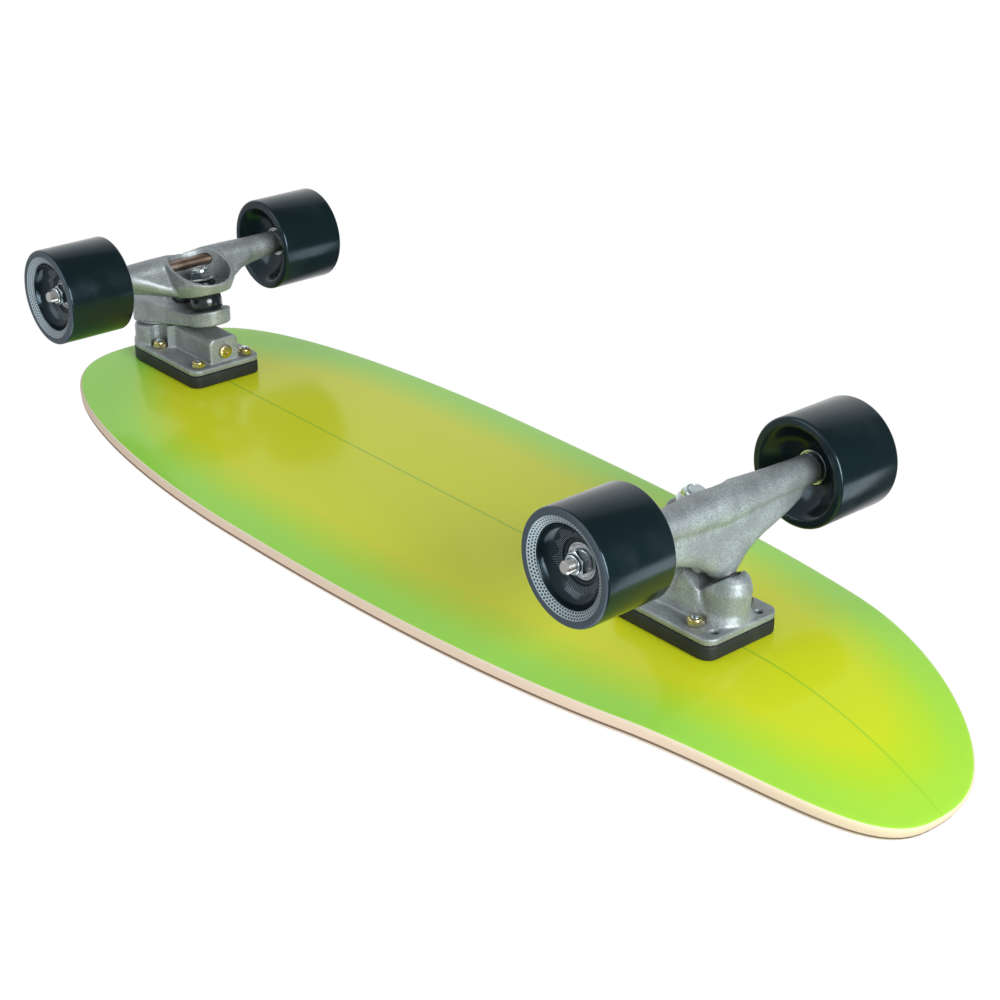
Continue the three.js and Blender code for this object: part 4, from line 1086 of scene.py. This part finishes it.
def moulded_black():
    paint = Paint("cup_plastic", specular_ior_level=0.4)
    place = paint.place()
    grain = paint.noise(place, 400.0, detail=3.0)
    paint.feed(
        base_color=paint.mix(grain, (0.01, 0.011, 0.012), (0.03, 0.031, 0.033)),
        roughness=0.4 + grain * 0.2,
        normal=paint.bump(grain, 0.0002, 0.2),
    )
    return paint.material


dull_black = moulded_black()
for end, (x, z), body in (("front", (24.0, 51.5), "swing_arm"), ("rear", (31.0, 38.5), "board")):
    cup = turned(f"{end}_cup_liner", CUP_PROFILE, 56)
    at, turn = on_truck(end, x, z, CUP_LEAN)
    dress(shade(put(cup, at, about_y=turn)), dull_black, f"{end}_pivot_cup", body)

# %% [markdown]
# ## The swing joint
# The arm turns on a thick bolt and a flat thrust race, both in the base's round tower. The bolt's
# head is a chamfered hexagon, and the race is a plain ring with softened edges.

# %% Swing bolt and thrust race
SWING = dict(x=44.4, z=30.9, lean=math.radians(9.5))
TOWER_TOP, PLATE_TOP, HEAD_RECESS = 49.2, 10, 3
RACE_THICKNESS = 1.8


def up_the_swing(depth):
    """How far along the swing axis a depth under the deck lies."""
    return (depth - SWING["z"]) / math.cos(SWING["lean"])


head_seat = up_the_swing(TOWER_TOP) - HEAD_RECESS + 0.3
foot = up_the_swing(PLATE_TOP) + 1.5
head = hexagon("swing_bolt_head", 17, 6.4)
put(head, (0, 0, head_seat))
shank = turned("shank", [
    (0, foot), (4.4, foot), (5, foot + 0.6), (5, head_seat + 1), (0, head_seat + 1),
], 48)
combine(head, "UNION", shank)
at, turn = on_truck("front", **SWING)
dress(shade(put(head, at, about_y=turn)), bolt_steel, "swing_bolt", "board")

low = -(RACE_THICKNESS + GAP) + 0.3
high = low + RACE_THICKNESS
race = turned("thrust_race_ring", [
    (16.9, low), (22.0, low), (22.3, low + 0.3), (22.3, high - 0.3), (22.0, high), (16.9, high),
], 72)
put(race, at, about_y=turn)
dress(shade(race), polished_steel, "swing_thrust_bearing", "board")

# %% [markdown]
# ## The return spring
# An extension spring in the base's box pulls the arm back to the middle. It is a real coil of
# round wire, drawn as a curve with thickness. Its near end sits on the adjuster's plug, and the
# whole coil is one fixed shape.

# %% Spring, plug and adjuster
SPRING_START, SPRING_END, SPRING_DEPTH = -26.6, 27.5, 23.3
COIL_STEPS = 24


def coil(name, start, end, radius, wire, turns):
    """A helix along X. The wire is given by its radius."""
    curve = bpy.data.curves.new(name, "CURVE")
    curve.dimensions = "3D"
    curve.bevel_depth = wire * MM
    curve.bevel_resolution = 3
    curve.use_fill_caps = True
    line = curve.splines.new("POLY")
    count = turns * COIL_STEPS
    line.points.add(count)
    for k, point in enumerate(line.points):
        angle = 2 * math.pi * turns * k / count
        along = start + (end - start) * k / count
        point.co = (along * MM, radius * MM * math.sin(angle), radius * MM * math.cos(angle), 1)
    ob = bpy.data.objects.new(name, curve)
    bpy.context.scene.collection.objects.link(ob)
    only(ob)
    bpy.ops.object.convert(target="MESH")
    return named(name)


dark_spring = steel("oiled_spring", (0.26, 0.27, 0.29), 0.3)
spring = coil("return_spring_coil", SPRING_START, SPRING_END, radius=6.0, wire=1.1, turns=8)
put(spring, on_truck("front", 0, SPRING_DEPTH)[0], about_x=math.pi)
dress(shade(spring, 60), dark_spring, "return_spring")
ends = [[c * MM for c in on_truck("front", x, SPRING_DEPTH)[0]] for x in (SPRING_START, SPRING_END)]
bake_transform(spring)

plug = turned("spring_plug_core", [
    (3.3, -26.6), (4.3, -26.6), (4.6, -26.3), (4.6, -16.9), (4.3, -16.6), (3.3, -16.6),
], 40)
screw = turned("spring_adjuster_screw", [
    (0, -34.3), (3.9, -34.3), (4.9, -33.9), (5.2, -33.2), (5.2, -31.5), (4.9, -31.3),
    (3.0, -31.3), (3.0, -16.6), (0, -16.6),
], 48)
socket = hexagon("socket", 4.33, 4)
combine(screw, "DIFFERENCE", put(socket, (0, 0, -36.3), about_z=math.pi / 48))
for ob, node in ((plug, "spring_plug"), (screw, "spring_adjuster")):
    put(ob, on_truck("front", 0, SPRING_DEPTH)[0], about_y=math.pi / 2)
    dress(shade(ob), yellow_zinc, node, "board")

# %% [markdown]
# ## Deck bolts
# The bolts have flat heads with a cross recess, flush with the top, and their threads stand a
# little proud of yellow-plated lock nuts. The cross is cut by two thin blocks.

# %% Deck bolts and nuts
CROSS_SIZE = (4.4 * MM, 0.9 * MM, 3 * MM)
NUT_DEPTH = 14.9


def cross_cutter():
    """Two crossed bars, for the recess in a bolt's head."""
    bars = []
    for turn in (0, math.pi / 2):
        bpy.ops.mesh.primitive_cube_add(size=1, scale=CROSS_SIZE, rotation=(0, 0, turn))
        bars.append(settle(named("bar")))
    return combine(bars[0], "UNION", bars[1])


bolt_model = turned("bolt_model", [
    (0, -31.5), (2.0, -31.5), *thread(2.4, -31.0, -21.0, 0.8, 0.28),
    (2.4, -3.0), (4.7, -0.3), (4.7, 0), (0, 0),
], 40)
combine(bolt_model, "DIFFERENCE", put(cross_cutter(), (0, 0, -0.3)))
for label, (x, y) in BOLT_PLACES.items():
    bolt = put(twin(bolt_model, f"{label}_screw"), (x, y, DECK_HEIGHT + DECK_THICKNESS))
    dress(shade(bolt, 25), bolt_steel, f"{label}_deck_bolt", "board")
    nut = twin(deck_nut_model, f"{label}_lock_nut_small")
    put(nut, (x, y, DECK_HEIGHT - NUT_DEPTH), about_x=math.pi)
    dress(shade(nut), yellow_zinc, f"{label}_deck_nut", "board")
for model in (bolt_model, deck_nut_model):
    bpy.data.objects.remove(model)
print("deck bolts:", len(BOLT_PLACES))

# %% [markdown]
# ## The stage
# The photograph looks up at the underside, so the camera stands below the ground that the wheels
# rest on. The floor is a wide pale disc that is seen from above only and fades out at its rim.
# From below, and for light, it isn't there.

# %% Floor
FLOOR_RADIUS, FLOOR_HEIGHT = 3.0, -0.0002
bpy.ops.mesh.primitive_circle_add(
    vertices=96, radius=FLOOR_RADIUS, fill_type="NGON", location=(0, 0, FLOOR_HEIGHT))
floor = settle(named("floor"))
pale = Paint(
    "pale_floor",
    base_color=(0.4, 0.4, 0.4),
    roughness=0.9,
    specular_ior_level=0.0,
    emission_color=(1.0, 1.0, 1.0),
    emission_strength=0.45,
)
camera_ray = pale.node("ShaderNodeLightPath", out="Is Camera Ray")
behind = pale.node("ShaderNodeNewGeometry", out="Backfacing")
far = pale.vector("LENGTH", pale.place(), out="Value")
pale.feed(alpha=camera_ray * (1 - behind) * (1 - far.ease(0.7, 2.6)))
floor.data.materials.append(pale.material)

# %% [markdown]
# ## Light
# Soft light comes from all round, so that a colour shows as it is written. The large key box
# stands past the tail and below the board, and shapes the forms. A smaller box past the tail, at
# the board's own height, brightens the castings' tail faces. One box hangs over the board, and
# two weak ones, to the right below and to the left above, make highlights on the wheels. The
# backdrop is white to the eye. Mirrors see it white past the nose to the left, greyer to the
# right, and dark elsewhere.

# %% World
world = bpy.data.worlds.new("studio")
bpy.context.scene.world = world
room = Graph(world, "Background")
camera_ray = room.node("ShaderNodeLightPath", out="Is Camera Ray")
glossy_ray = room.node("ShaderNodeLightPath", out="Is Glossy Ray")
direction = room.node("ShaderNodeTexCoord", out="Generated")


def towards(way):
    """1 straight along a way, 0 across it and -1 against it."""
    return room.vector("DOT_PRODUCT", direction, way, out="Value")


BACKDROP_WAY, NEAR_WAY = (0.76, 0.65, 0.0), (0.45, -0.85, -0.27)
ALL_ROUND, MIRRORED_DARK = 0.38, 0.1
backdrop = towards(BACKDROP_WAY)
mirrored = backdrop.ease(0.46, 0.53) * 0.42 + backdrop.ease(0.55, 0.86) * 0.5
near_side = towards(NEAR_WAY).ease(-0.2, 0.9) * 0.5
seen = MIRRORED_DARK + mirrored + near_side
strength = (1 - glossy_ray) * ALL_ROUND + glossy_ray * seen
white = room.node("ShaderNodeMath", {"operation": "MAXIMUM"}, camera_ray, strength)
room.feed(color=(1.0, 1.0, 1.0), strength=white)


# %% Soft boxes
LIT_PLACE = Vector((0, 0, 0.1))


def soft_box(name, place, size, power, colour=(1, 1, 1)):
    """A rectangular light that faces the middle of the board."""
    light = bpy.data.lights.new(name, "AREA")
    light.shape = "RECTANGLE"
    light.size, light.size_y = size
    light.energy = power
    light.color = colour
    ob = bpy.data.objects.new(name, light)
    bpy.context.scene.collection.objects.link(ob)
    away = Vector(place) - LIT_PLACE
    ob.matrix_world = Matrix.LocRotScale(Vector(place), away.to_track_quat("Z", "Y"), None)


soft_box("over_box", (-0.5, -0.6, 2.0), (1.6, 1.6), 24)
soft_box("key_box", (-3.6, -0.45, -1.25), (2.2, 1.8), 156, (0.97, 0.99, 1.0))
soft_box("end_box", (-3.0, -0.25, -0.05), (1.2, 0.8), 26, (0.96, 0.99, 1.0))
soft_box("near_box", (0.95, -1.95, -0.6), (1.2, 1.0), 9, (0.98, 0.99, 1.0))
soft_box("tail_box", (-1.54, 1.3, 0.98), (0.8, 0.8), 5, (0.95, 0.98, 1.0))

# %% [markdown]
# ## Camera
# The camera's place, turn and lens were fitted to the photograph's known sizes: the bolt pattern,
# the wheels and the axles. The rows are its right, down and forward directions.

# %% Camera
CAMERA_PLACE = (-0.906825, -0.757617, -0.458385)
FOCAL_LENGTH, SENSOR_WIDTH = 71.981, 36.0
RIGHT = Vector((-0.65315687, 0.75721346, -0.00372551))
DOWN = Vector((-0.33100994, -0.28109052, 0.90078884))
FORWARD = Vector((0.68104223, 0.5895896, 0.43424139))
lens = bpy.data.cameras.new("camera")
lens.sensor_width = SENSOR_WIDTH
lens.lens = FOCAL_LENGTH
lens.clip_start = 0.05
camera = bpy.data.objects.new("camera", lens)
turn = Matrix((RIGHT, -DOWN, -FORWARD)).transposed().to_4x4()
camera.matrix_world = Matrix.Translation(CAMERA_PLACE) @ turn
bpy.context.scene.collection.objects.link(camera)
bpy.context.scene.camera = camera
bpy.context.scene.view_settings.view_transform = "Standard"
